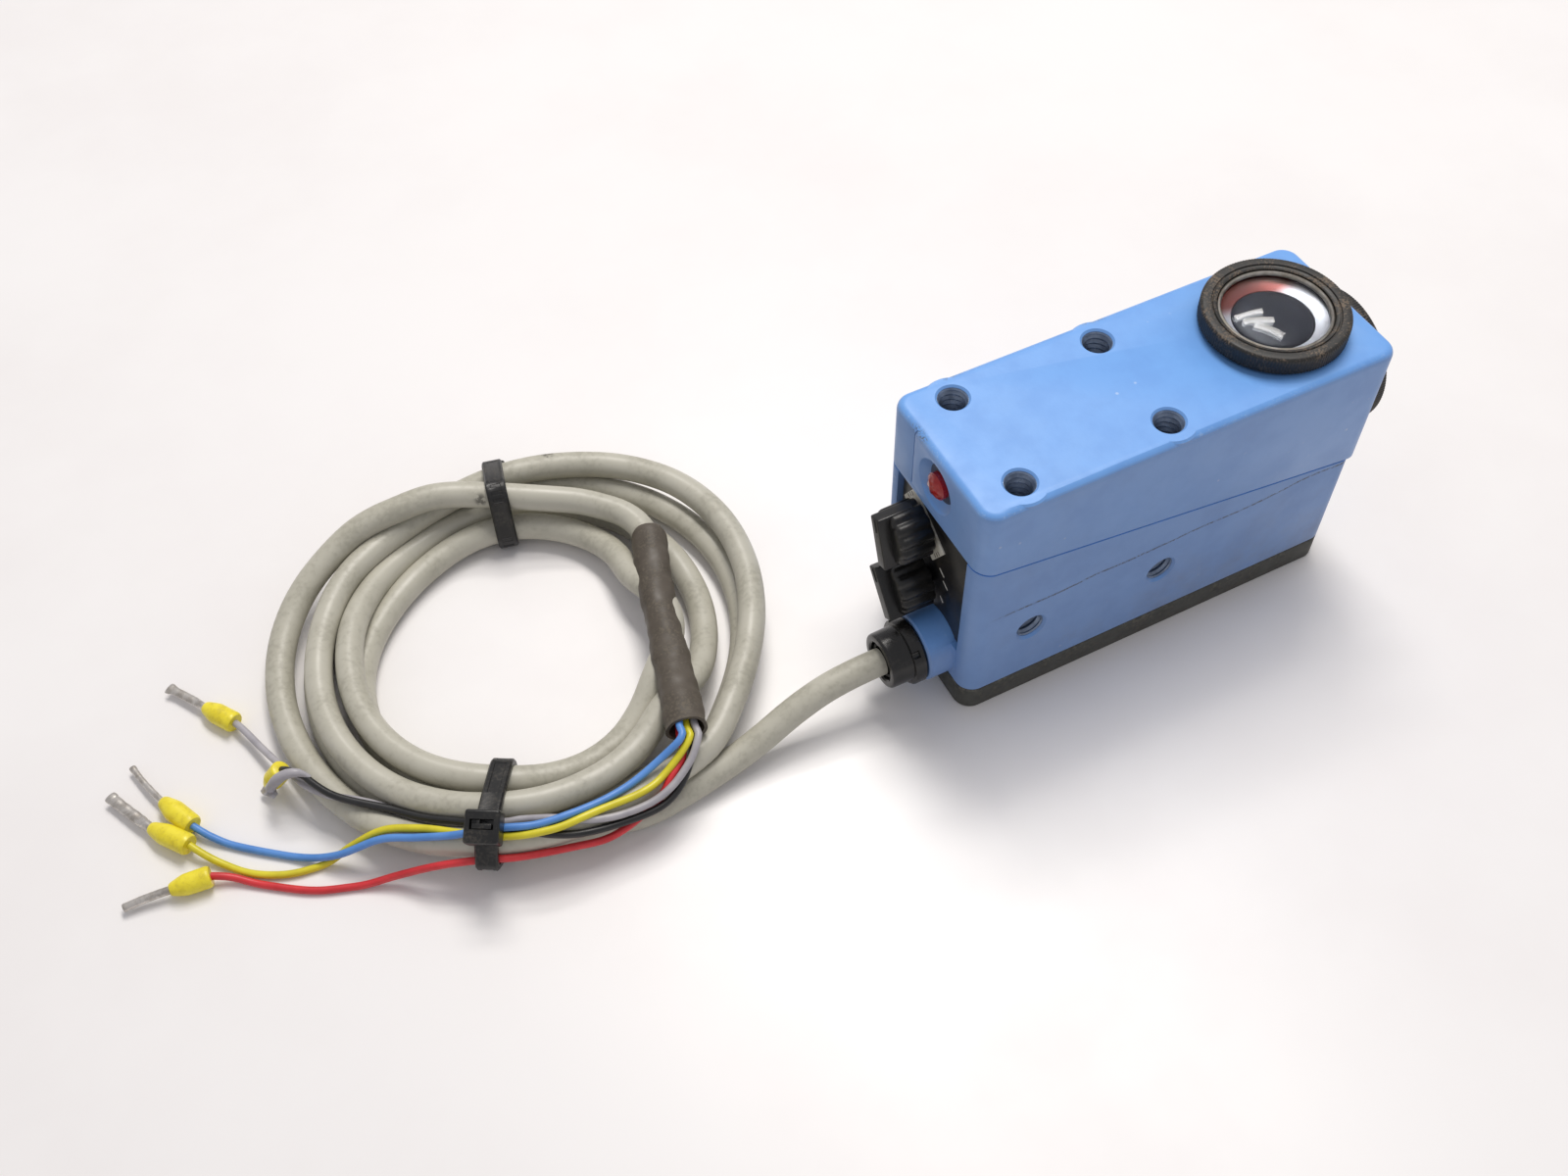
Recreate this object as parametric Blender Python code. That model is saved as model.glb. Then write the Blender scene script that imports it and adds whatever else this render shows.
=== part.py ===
"""Photoelectric contrast sensor: die-cast two-part housing, screw-in lens, two knobs, coiled lead.

Units are metres, +Z is up and +X runs along the housing from the cable end to the blanked port.
The origin is the bottom centre of everything but the lead and its wires.
"""
import math

import bmesh
import bpy
from mathutils import Matrix, Vector

MM = 0.001
GAP = 0.3 * MM

# Housing: overall size, skin and seam.
LENGTH = 80.0 * MM
WIDTH = 30.4 * MM
HEIGHT = 53.0 * MM
CAP_REACH = 3.7 * MM
GLAND_REACH = 11.3 * MM
X_REAR = (GLAND_REACH - CAP_REACH - LENGTH) / 2
X_FRONT = X_REAR + LENGTH
Y_SIDE = WIDTH / 2
Z_ROOF = HEIGHT - 0.1 * MM
CORNER_RADIUS = 4.2 * MM
TOP_ROUND = 1.5 * MM
WALL = 2.6 * MM
REAR_WALL = 3.4 * MM
ROOF = 4.0 * MM
FRONT_STEP = 1.2 * MM
COVER_HEIGHT = 5.3 * MM
SEAM_REAR = 38.8 * MM
SEAM_FRONT = 27.0 * MM
SEAM_SLOPE = (SEAM_FRONT - SEAM_REAR) / LENGTH

# Mounting threads, M5.
THREAD_RADIUS = 2.3 * MM
SINK_RADIUS = 3.15 * MM
THREAD_DEPTH = 5.5 * MM
PAD_RADIUS = 4.9 * MM
TOP_HOLE_X = (X_REAR + 8.9 * MM, X_REAR + 36.8 * MM)
TOP_HOLE_Y = 10.2 * MM
SIDE_HOLE_X = (X_REAR + 12.2 * MM, X_REAR + 39.0 * MM)
SIDE_HOLE_Z = 18.2 * MM

# Optics: one lens port in the roof, one blanked port in the far end.
PORT_INSET = 15.2 * MM
LENS_X = X_FRONT - PORT_INSET
PORT_Z = HEIGHT - PORT_INSET
PORT_RADIUS = 10.2 * MM
RING_RADIUS = 12.5 * MM
RING_HEIGHT = 3.4 * MM
NECK_RADIUS = 9.9 * MM
NECK_LENGTH = 3.6 * MM
SEAL_RADIUS = 11.3 * MM
SEAL_SECTION = 0.55 * MM
LENS_RADIUS = 9.4 * MM
LENS_RISE = 2.3 * MM

# Cable end: pocket for the label, two knobs, lamp, cable boss.
POCKET_DEPTH = 1.6 * MM
POCKET_HALF_WIDTH = 11.2 * MM
POCKET_FLOOR_Z = 14.0 * MM
LAMP_Z = 46.0 * MM
KNOB_RADIUS = 5.2 * MM
KNOB_LENGTH = 6.2 * MM
KNOB_BASE_X = X_REAR - 0.1 * MM
BLADE_RISE = 2.0 * MM
SHAFT_RADIUS = 1.5 * MM
SENSITIVITY_YZ = (3.0 * MM, 33.0 * MM)
SELECTOR_YZ = (1.5 * MM, 20.8 * MM)
SENSITIVITY_TILT = math.radians(19)
SELECTOR_TILT = math.radians(38)
CABLE_Y = -4.5 * MM
CABLE_Z = 9.8 * MM
BOSS_RADIUS = 6.3 * MM
BOSS_REACH = 4.6 * MM

# Lead, coil and wires.
CABLE_RADIUS = 2.5 * MM
COIL_CENTRE = Vector((-100.2 * MM, 31.2 * MM, 0))
COIL_OUTER = (46.5 * MM, 42.0 * MM)
COIL_BAND = 19.0 * MM
COIL_BOTTOM = 1.5 * MM
COIL_TOP = 8.9 * MM
WIRE_RADIUS = 0.65 * MM
SLEEVE_RADIUS = 3.3 * MM


def clear_scene():
    """Remove every object, so that the script starts from nothing."""
    for obj in list(bpy.data.objects):
        bpy.data.objects.remove(obj, do_unlink=True)


def finish(name, colour, roughness, metallic=0.0, alpha=1.0):
    """Return a new Principled material."""
    material = bpy.data.materials.new(name)
    material.use_nodes = True
    shader = material.node_tree.nodes["Principled BSDF"]
    shader.inputs["Base Color"].default_value = (*colour, 1.0)
    shader.inputs["Roughness"].default_value = roughness
    shader.inputs["Metallic"].default_value = metallic
    shader.inputs["Alpha"].default_value = alpha
    return material


def blue_paint():
    return finish("blue_paint", (0.13, 0.30, 0.68), 0.45)


def dark_cast():
    return finish("dark_cast_cover", (0.07, 0.07, 0.065), 0.6)


def black_plastic():
    return finish("black_plastic", (0.02, 0.02, 0.02), 0.45)


def black_anodised():
    return finish("black_anodised", (0.02, 0.02, 0.02), 0.5, 0.6)


def clear_glass():
    return finish("lens_glass", (0.9, 0.95, 1.0), 0.03, 0.0, 0.35)


def seal_rubber():
    return finish("seal_rubber", (0.015, 0.015, 0.015), 0.8)


def steel():
    return finish("zinc_steel", (0.6, 0.6, 0.58), 0.35, 1.0)


def board_laminate():
    return finish("board_laminate", (0.03, 0.20, 0.08), 0.5)


def red_lens():
    return finish("red_lens", (0.55, 0.01, 0.02), 0.15)


def label_film():
    return finish("label_film", (0.01, 0.01, 0.012), 0.35)


def dial_film():
    return finish("dial_film", (0.62, 0.62, 0.58), 0.45)


def grey_pvc():
    return finish("grey_pvc", (0.36, 0.36, 0.31), 0.5)


def shrink_sleeve():
    return finish("shrink_sleeve", (0.09, 0.075, 0.06), 0.6)


def wire_pvc(name, colour):
    return finish("wire_" + name, colour, 0.45)


def yellow_collar():
    return finish("yellow_collar", (0.80, 0.68, 0.03), 0.4)


def tinned_copper():
    return finish("tinned_copper", (0.55, 0.54, 0.52), 0.35, 1.0)


def add_object(name, bm, material, smooth_angle=35):
    """Turn a bmesh into a named object with outward faces and its material."""
    bmesh.ops.remove_doubles(bm, verts=bm.verts, dist=1e-7)
    bmesh.ops.recalc_face_normals(bm, faces=bm.faces)
    mesh = bpy.data.meshes.new(name)
    bm.to_mesh(mesh)
    bm.free()
    mesh.materials.append(material)
    mesh.shade_smooth()
    mesh.set_sharp_from_angle(angle=math.radians(smooth_angle))
    obj = bpy.data.objects.new(name, mesh)
    bpy.context.scene.collection.objects.link(obj)
    return obj


def tool(name, bm):
    """Make a hidden guide for a Boolean modifier."""
    obj = add_object(name, bm, finish(name, (0.5, 0.5, 0.5), 0.5))
    obj.hide_render = True
    obj.display_type = "WIRE"
    return obj


def boolean(obj, guide, operation="DIFFERENCE"):
    """Cut the guide out of the object, or join it on."""
    modifier = obj.modifiers.new(guide.name, "BOOLEAN")
    modifier.operation = operation
    modifier.solver = "EXACT"
    modifier.object = guide


def axis_matrix(axis):
    """Return the rotation that turns local Z onto the axis."""
    return Vector((0, 0, 1)).rotation_difference(Vector(axis)).to_matrix().to_4x4()


def rod_mesh(start, end, radius, segments=24, end_radius=None):
    """Return a solid cylinder or cone between two points."""
    start, end = Vector(start), Vector(end)
    bm = bmesh.new()
    bmesh.ops.create_cone(
        bm, cap_ends=True, segments=segments, radius1=radius,
        radius2=radius if end_radius is None else end_radius, depth=(end - start).length,
        matrix=Matrix.Translation((start + end) / 2) @ axis_matrix((end - start).normalized()),
    )
    return bm


def box_mesh(low, high):
    """Return a solid box between two corners."""
    low, high = Vector(low), Vector(high)
    bm = bmesh.new()
    bmesh.ops.create_cube(bm, size=1.0)
    bmesh.ops.scale(bm, vec=high - low, verts=bm.verts)
    bmesh.ops.translate(bm, vec=(low + high) / 2, verts=bm.verts)
    return bm


def loft_mesh(loops):
    """Return a solid skinned through closed loops of equal length, capped at both ends."""
    bm = bmesh.new()
    rings = [[bm.verts.new(point) for point in loop] for loop in loops]
    for ring in (rings[0], rings[-1]):
        bm.faces.new(ring)
    for lower, upper in zip(rings, rings[1:]):
        for i in range(len(lower)):
            j = (i + 1) % len(lower)
            bm.faces.new((lower[i], lower[j], upper[j], upper[i]))
    return bm


def turned_mesh(profile, origin, axis, segments=36):
    """Return a solid of revolution; the profile is a closed outline of (radius, height)."""
    bm = bmesh.new()
    verts = [bm.verts.new((radius, 0, height)) for radius, height in profile]
    edges = [bm.edges.new((verts[i], verts[(i + 1) % len(verts)])) for i in range(len(verts))]
    bmesh.ops.spin(
        bm, geom=verts + edges, cent=(0, 0, 0), axis=(0, 0, 1),
        angle=2 * math.pi, steps=segments, use_merge=True,
    )
    bmesh.ops.remove_doubles(bm, verts=bm.verts, dist=1e-7)
    bmesh.ops.dissolve_degenerate(bm, edges=bm.edges, dist=1e-8)
    bmesh.ops.transform(bm, matrix=Matrix.Translation(Vector(origin)) @ axis_matrix(axis), verts=bm.verts)
    return bm


def rounded_outline(x_low, x_high, y_half, radius, height, arc=5):
    """Return the points of a rectangle with round corners at one height."""
    points = []
    corners = ((x_high, y_half, 0), (x_low, y_half, 90), (x_low, -y_half, 180), (x_high, -y_half, 270))
    for x, y, turn in corners:
        centre_x = x - math.copysign(radius, x - (x_low + x_high) / 2)
        centre_y = y - math.copysign(radius, y)
        for step in range(arc + 1):
            angle = math.radians(turn + 90 * step / arc)
            points.append((centre_x + radius * math.cos(angle), centre_y + radius * math.sin(angle), height))
    return points


def block_mesh(x_low, x_high, y_half, radius, z_low, z_high, top_round=0.0):
    """Return a block with round upright edges and, if asked, a rounded top edge."""
    loops = [rounded_outline(x_low, x_high, y_half, radius, z_low)]
    if top_round:
        for step in range(4):
            angle = math.radians(30 * step)
            inset = top_round * (1 - math.cos(angle))
            level = z_high - top_round * (1 - math.sin(angle))
            loops.append(rounded_outline(x_low + inset, x_high - inset, y_half - inset, radius - inset, level))
    else:
        loops.append(rounded_outline(x_low, x_high, y_half, radius, z_high))
    return loft_mesh(loops)


def wedge_mesh(above):
    """Return the space above or below the slanted seam, half a gap back from it."""
    reach = 20 * MM
    offset = -GAP / 2 if above else GAP / 2
    x_low, x_high = X_REAR - reach, X_FRONT + reach
    seam_low = SEAM_REAR - SEAM_SLOPE * reach + offset
    seam_high = SEAM_FRONT + SEAM_SLOPE * reach + offset
    far = HEIGHT + reach if above else -reach
    outline = ((x_low, seam_low), (x_high, seam_high), (x_high, far), (x_low, far))
    return loft_mesh([[(x, side * 2 * WIDTH, z) for x, z in outline] for side in (-1, 1)])


def thread_hole(name, mouth, inward):
    """Return a guide for one blind M5 thread with its countersink."""
    mouth, inward = Vector(mouth), Vector(inward)
    chamfer = SINK_RADIUS - THREAD_RADIUS
    profile = (
        (0, 0.5 * MM), (SINK_RADIUS + 0.3 * MM, 0.5 * MM), (SINK_RADIUS + 0.3 * MM, 0.3 * MM),
        (SINK_RADIUS, 0), (THREAD_RADIUS, -chamfer), (THREAD_RADIUS, -THREAD_DEPTH), (0, -THREAD_DEPTH),
    )
    return tool(name, turned_mesh(profile, mouth, -inward, segments=20))


def build_upper_housing():
    """The wedge-shaped upper shell with four thread pads, lens port, blanked port and lamp seat."""
    shell = add_object(
        "upper_housing",
        block_mesh(X_REAR, X_FRONT, Y_SIDE, CORNER_RADIUS, 10 * MM, Z_ROOF, TOP_ROUND), blue_paint(),
    )
    cavity = block_mesh(
        X_REAR + REAR_WALL, X_FRONT - WALL, Y_SIDE - WALL, CORNER_RADIUS - WALL, 5 * MM, Z_ROOF - ROOF
    )
    boolean(shell, tool("upper_cavity", cavity))
    for index, (x, side) in enumerate((x, side) for x in TOP_HOLE_X for side in (-1, 1)):
        y = side * TOP_HOLE_Y
        pad = rod_mesh((x, y, HEIGHT - 9 * MM), (x, y, HEIGHT), PAD_RADIUS)
        boolean(shell, tool(f"top_pad_{index}", pad), "UNION")
        boolean(shell, thread_hole(f"top_thread_{index}", (x, y, HEIGHT), (0, 0, -1)))
    lens_port = rod_mesh((LENS_X, 0, Z_ROOF - 2 * ROOF), (LENS_X, 0, HEIGHT + ROOF), PORT_RADIUS, 36)
    boolean(shell, tool("lens_port", lens_port))
    end_port = rod_mesh((X_FRONT - 2 * WALL, 0, PORT_Z), (X_FRONT + WALL, 0, PORT_Z), PORT_RADIUS, 36)
    boolean(shell, tool("end_port", end_port))
    lamp_seat = turned_mesh(
        ((0, 1 * MM), (5.6 * MM, 1 * MM), (5.2 * MM, 0), (3.6 * MM, -1.1 * MM), (3.6 * MM, -2.2 * MM),
         (2.3 * MM, -2.2 * MM), (2.3 * MM, -5 * MM), (0, -5 * MM)),
        (X_REAR, 0, LAMP_Z), (-1, 0, 0), 24,
    )
    boolean(shell, tool("lamp_seat", lamp_seat))
    boolean(shell, tool("below_seam", wedge_mesh(above=False)))


def build_lower_housing():
    """The lower shell with the label pocket, cable boss, four side threads and four screw posts."""
    bottom = COVER_HEIGHT + GAP
    shell = add_object(
        "lower_housing",
        block_mesh(X_REAR, X_FRONT - FRONT_STEP, Y_SIDE, CORNER_RADIUS, bottom, HEIGHT), blue_paint(),
    )
    cavity = block_mesh(
        X_REAR + REAR_WALL, X_FRONT - FRONT_STEP - WALL, Y_SIDE - WALL, CORNER_RADIUS - WALL,
        bottom - 5 * MM, HEIGHT + 5 * MM,
    )
    boolean(shell, tool("lower_cavity", cavity))
    for index, (x, y) in enumerate(screw_places()):
        post = rod_mesh((x, y, bottom + 1.6 * MM), (x, y, 15 * MM), 3.0 * MM, 16)
        boolean(shell, tool(f"post_{index}", post), "UNION")
        bore = rod_mesh((x, y, bottom - MM), (x, y, 13 * MM), 1.5 * MM, 12)
        boolean(shell, tool(f"post_bore_{index}", bore))
    for index, (x, side) in enumerate((x, side) for x in SIDE_HOLE_X for side in (-1, 1)):
        inner = (x, side * (Y_SIDE - 7 * MM), SIDE_HOLE_Z)
        outer = (x, side * (Y_SIDE - 1 * MM), SIDE_HOLE_Z)
        boolean(shell, tool(f"side_boss_{index}", rod_mesh(inner, outer, 4.2 * MM, 20)), "UNION")
        mouth = (x, side * Y_SIDE, SIDE_HOLE_Z)
        boolean(shell, thread_hole(f"side_thread_{index}", mouth, (0, -side, 0)))
    pocket = box_mesh(
        (X_REAR - 2 * MM, -POCKET_HALF_WIDTH, POCKET_FLOOR_Z),
        (X_REAR + POCKET_DEPTH, POCKET_HALF_WIDTH, HEIGHT + 10 * MM),
    )
    boolean(shell, tool("label_pocket", pocket))
    boss = rod_mesh((X_REAR + 2.2 * MM, CABLE_Y, CABLE_Z), (X_REAR - BOSS_REACH, CABLE_Y, CABLE_Z), BOSS_RADIUS, 32)
    boolean(shell, tool("cable_boss", boss), "UNION")
    bore = rod_mesh((X_REAR + 5 * MM, CABLE_Y, CABLE_Z), (X_REAR - 9 * MM, CABLE_Y, CABLE_Z), 4.0 * MM, 24)
    boolean(shell, tool("cable_bore", bore))
    for name, (y, z) in (("sensitivity_hole", SENSITIVITY_YZ), ("selector_hole", SELECTOR_YZ)):
        hole = rod_mesh((X_REAR - 3 * MM, y, z), (X_REAR + 5 * MM, y, z), SHAFT_RADIUS + GAP, 16)
        boolean(shell, tool(name, hole))
    boolean(shell, tool("above_seam", wedge_mesh(above=True)))


def screw_places():
    """Return the plan position of each base screw."""
    inset_x, inset_y = 7.2 * MM, 4.6 * MM
    xs = (X_REAR + inset_x, X_FRONT - FRONT_STEP - inset_x)
    return [(x, side * (Y_SIDE - inset_y)) for x in xs for side in (-1, 1)]


def build_base():
    """The dark base cover, its gasket and the four countersunk screws."""
    cover = add_object(
        "base_cover",
        block_mesh(X_REAR, X_FRONT - FRONT_STEP, Y_SIDE, CORNER_RADIUS, 0, COVER_HEIGHT), dark_cast(),
    )
    scallop = rod_mesh(
        (X_REAR + 2.5 * MM, CABLE_Y, CABLE_Z), (X_REAR - 5 * MM, CABLE_Y, CABLE_Z), BOSS_RADIUS + GAP, 32
    )
    boolean(cover, tool("boss_scallop", scallop))
    hollow = block_mesh(
        X_REAR + 12 * MM, X_FRONT - 13 * MM, Y_SIDE - 4.5 * MM, 2 * MM, 2.4 * MM, COVER_HEIGHT + MM
    )
    boolean(cover, tool("cover_hollow", hollow))
    head_radius, head_depth, shank = 2.6 * MM, 1.6 * MM, 1.2 * MM
    for index, (x, y) in enumerate(screw_places()):
        seat = turned_mesh(
            ((0, -MM), (head_radius + GAP, -MM), (head_radius + GAP, 0.3 * MM),
             (shank + GAP, head_depth + 0.3 * MM), (shank + GAP, COVER_HEIGHT + MM), (0, COVER_HEIGHT + MM)),
            (x, y, 0), (0, 0, 1), 16,
        )
        boolean(cover, tool(f"screw_seat_{index}", seat))
        screw = turned_mesh(
            ((0, 0.8 * MM), (0.9 * MM, 0.8 * MM), (1.1 * MM, 0.2 * MM), (head_radius, 0.2 * MM),
             (shank, head_depth + 0.2 * MM), (shank, 12 * MM), (0, 12.6 * MM)),
            (x, y, 0), (0, 0, 1), 16,
        )
        add_object(f"base_screw_{index + 1}", screw, steel())
    seal = add_object(
        "base_gasket",
        block_mesh(X_REAR + 4.1 * MM, X_FRONT - FRONT_STEP - 3.2 * MM, Y_SIDE - 3.2 * MM, 1.4 * MM,
                   COVER_HEIGHT + GAP, COVER_HEIGHT + 1.5 * MM), seal_rubber(),
    )
    inside = block_mesh(
        X_REAR + 12.6 * MM, X_FRONT - 13.6 * MM, Y_SIDE - 4.9 * MM, 1.2 * MM, 0, COVER_HEIGHT + 5 * MM
    )
    boolean(seal, tool("gasket_window", inside))
    for index, (x, y) in enumerate(screw_places()):
        relief = rod_mesh((x, y, 0), (x, y, 12 * MM), shank + 2 * GAP, 16)
        boolean(seal, tool(f"gasket_hole_{index}", relief))


def screw_in_profile(solid):
    """Return the turned outline of a knurled ring (or a blank cap) on its threaded neck."""
    groove_in, groove_out = SEAL_RADIUS - SEAL_SECTION - GAP, SEAL_RADIUS + SEAL_SECTION + GAP
    groove_top = 2 * SEAL_SECTION + GAP
    outer = [
        (NECK_RADIUS, -NECK_LENGTH), (NECK_RADIUS, 0), (groove_in, 0), (groove_in, groove_top),
        (groove_out, groove_top), (groove_out, 0), (RING_RADIUS - 0.2 * MM, 0), (RING_RADIUS, 0.3 * MM),
        (RING_RADIUS, RING_HEIGHT - 0.4 * MM), (RING_RADIUS - 0.4 * MM, RING_HEIGHT),
    ]
    if solid:
        inner = [(8.6 * MM, RING_HEIGHT), (8.2 * MM, RING_HEIGHT - 0.6 * MM), (0, RING_HEIGHT - 0.6 * MM),
                 (0, -0.6 * MM), (8.6 * MM, -0.6 * MM), (8.6 * MM, -NECK_LENGTH)]
    else:
        pocket = LENS_RADIUS + GAP
        inner = [(10.6 * MM, RING_HEIGHT), (10.4 * MM, RING_HEIGHT - 0.4 * MM), (pocket, RING_HEIGHT - 0.4 * MM),
                 (pocket, 0.2 * MM), (8.2 * MM, 0.2 * MM), (8.2 * MM, -NECK_LENGTH)]
    return outer + inner


def seal_profile():
    """Return the round section of an O-ring, resting one gap above the face."""
    centre = SEAL_SECTION
    steps = 6
    angles = [2 * math.pi * (step + 0.5) / steps for step in range(steps)]
    return [(SEAL_RADIUS + SEAL_SECTION * math.cos(a), centre + SEAL_SECTION * math.sin(a)) for a in angles]


def build_lens_unit():
    """The knurled lens ring, its glass, the glass retainer and the O-ring, all on the roof port."""
    origin = (LENS_X, 0, Z_ROOF + GAP)
    add_object("lens_ring", turned_mesh(screw_in_profile(False), origin, (0, 0, 1), 36), black_anodised())
    add_object("lens_seal", turned_mesh(seal_profile(), origin, (0, 0, 1), 24), seal_rubber())
    rim = 1.7 * MM
    sphere = (LENS_RADIUS ** 2 + LENS_RISE ** 2) / (2 * LENS_RISE)
    radii = [LENS_RADIUS * step / 5 for step in range(5, -1, -1)]
    dome = [(r, rim + LENS_RISE - sphere + math.sqrt(sphere ** 2 - r ** 2)) for r in radii]
    base = 0.5 * MM
    glass = [(0, base), (LENS_RADIUS, base)] + dome
    add_object("objective_lens", turned_mesh(glass, origin, (0, 0, 1), 36), clear_glass())
    low, high = 2.35 * MM, RING_HEIGHT - 0.15 * MM
    retainer = ((8.75 * MM, low), (LENS_RADIUS, low), (LENS_RADIUS, high), (9.0 * MM, high))
    add_object("lens_retainer", turned_mesh(retainer, origin, (0, 0, 1), 36), black_anodised())


def build_blank_cap():
    """The cap and O-ring that close the unused port in the far end."""
    origin = (X_FRONT + GAP, 0, PORT_Z)
    add_object("blank_cap", turned_mesh(screw_in_profile(True), origin, (1, 0, 0), 36), black_anodised())
    add_object("cap_seal", turned_mesh(seal_profile(), origin, (1, 0, 0), 24), seal_rubber())


def fluted_outline(radius, depth, flutes, height):
    """Return a circle whose radius dips smoothly at each flute."""
    steps = flutes * 4
    points = []
    for step in range(steps):
        angle = 2 * math.pi * step / steps
        reach = radius - depth * (0.5 - 0.5 * math.cos(flutes * angle)) ** 2
        points.append((reach * math.cos(angle), reach * math.sin(angle), height))
    return points


def build_knob(name, place, tilt):
    """A fluted knob with a raised grip blade, its origin on the shaft's axis."""
    y, z = place
    loops = [
        fluted_outline(KNOB_RADIUS, 0.45 * MM, 12, 0),
        fluted_outline(KNOB_RADIUS - 0.1 * MM, 0.45 * MM, 12, KNOB_LENGTH - 0.5 * MM),
        fluted_outline(KNOB_RADIUS - 0.6 * MM, 0.3 * MM, 12, KNOB_LENGTH),
    ]
    knob = add_object(name, loft_mesh(loops), black_plastic())
    blade_half, blade_thick = KNOB_RADIUS - 0.15 * MM, 1.45 * MM
    blade = box_mesh((-blade_half, -blade_thick, 1.2 * MM), (blade_half, blade_thick, KNOB_LENGTH + BLADE_RISE))
    bmesh.ops.rotate(blade, cent=(0, 0, 0), matrix=Matrix.Rotation(tilt, 3, "Z"), verts=blade.verts)
    grip = tool(name + "_blade", blade)
    socket = tool(name + "_socket", rod_mesh((0, 0, -MM), (0, 0, 4.6 * MM), SHAFT_RADIUS + GAP, 16))
    for piece in (knob, grip, socket):
        piece.location = (KNOB_BASE_X, y, z)
        piece.rotation_euler = (0, -math.pi / 2, 0)
    boolean(knob, grip, "UNION")
    boolean(knob, socket)


def build_controls():
    """Both knobs with their shafts, and the potentiometer and switch behind them."""
    build_knob("sensitivity_knob", SENSITIVITY_YZ, SENSITIVITY_TILT)
    build_knob("selector_knob", SELECTOR_YZ, SELECTOR_TILT)
    body_x = X_REAR + REAR_WALL + 1.2 * MM
    body_depth = 4.6 * MM
    for name, (y, z) in (("sensitivity_shaft", SENSITIVITY_YZ), ("selector_shaft", SELECTOR_YZ)):
        shaft = rod_mesh((body_x - GAP, 0, 0), (KNOB_BASE_X - 4.2 * MM, 0, 0), SHAFT_RADIUS, 16)
        obj = add_object(name, shaft, black_plastic())
        obj.location = (0, y, z)
    pot_y, pot_z = SENSITIVITY_YZ
    pot_half = 4.9 * MM
    potentiometer = box_mesh(
        (body_x, pot_y - pot_half, pot_z - pot_half), (body_x + body_depth, pot_y + pot_half, pot_z + pot_half)
    )
    add_object("potentiometer", potentiometer, black_plastic())
    switch_y, switch_z = SELECTOR_YZ
    switch = rod_mesh((body_x, switch_y, switch_z), (body_x + body_depth, switch_y, switch_z), 5.0 * MM, 20)
    add_object("selector_switch", switch, black_plastic())
    board_x = body_x + body_depth + GAP
    board = box_mesh((board_x, -7.7 * MM, 15.4 * MM), (board_x + 1.6 * MM, 7.7 * MM, 43.4 * MM))
    add_object("control_board", board, board_laminate())


def build_plates():
    """The dark label film in the pocket and the pale dial film round the upper knob."""
    floor_x = X_REAR + POCKET_DEPTH
    edge = GAP + 0.1 * MM
    low, high = POCKET_FLOOR_Z + edge, SEAM_REAR - 1.0 * MM
    half = POCKET_HALF_WIDTH - edge
    label = add_object(
        "label_plate", box_mesh((floor_x - GAP - 0.4 * MM, -half, low), (floor_x - GAP, half, high)), label_film()
    )
    scallop = rod_mesh((floor_x - 4 * MM, CABLE_Y, CABLE_Z), (floor_x + 4 * MM, CABLE_Y, CABLE_Z), BOSS_RADIUS + GAP)
    boolean(label, tool("label_scallop", scallop))
    front_x = floor_x - 2 * GAP - 0.4 * MM
    y, z = SENSITIVITY_YZ
    dial_low, dial_high = (front_x - 0.3 * MM, y - 6.6 * MM, z - 6.2 * MM), (front_x, y + 6.4 * MM, high - 0.3 * MM)
    dial = add_object("dial_plate", box_mesh(dial_low, dial_high), dial_film())
    for name, plate, (hole_y, hole_z) in (
        ("label_hole_upper", label, SENSITIVITY_YZ), ("label_hole_lower", label, SELECTOR_YZ),
        ("dial_hole", dial, SENSITIVITY_YZ),
    ):
        hole = rod_mesh((floor_x - 4 * MM, hole_y, hole_z), (floor_x + 4 * MM, hole_y, hole_z), 1.9 * MM, 16)
        boolean(plate, tool(name, hole))


def build_lamp():
    """The red faceted lamp lens and the light-emitting diode behind it."""
    profile = ((0, -1.9 * MM), (3.3 * MM, -1.9 * MM), (3.3 * MM, 0), (2.4 * MM, 0.6 * MM), (0, 0.9 * MM))
    add_object("lamp_lens", turned_mesh(profile, (X_REAR, 0, LAMP_Z), (-1, 0, 0), 16), red_lens())
    diode = ((0, -10.5 * MM), (1.9 * MM, -10.5 * MM), (1.9 * MM, -4 * MM), (1.5 * MM, -2.8 * MM), (0, -2.3 * MM))
    add_object("status_diode", turned_mesh(diode, (X_REAR, 0, LAMP_Z), (-1, 0, 0), 16), red_lens())


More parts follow.
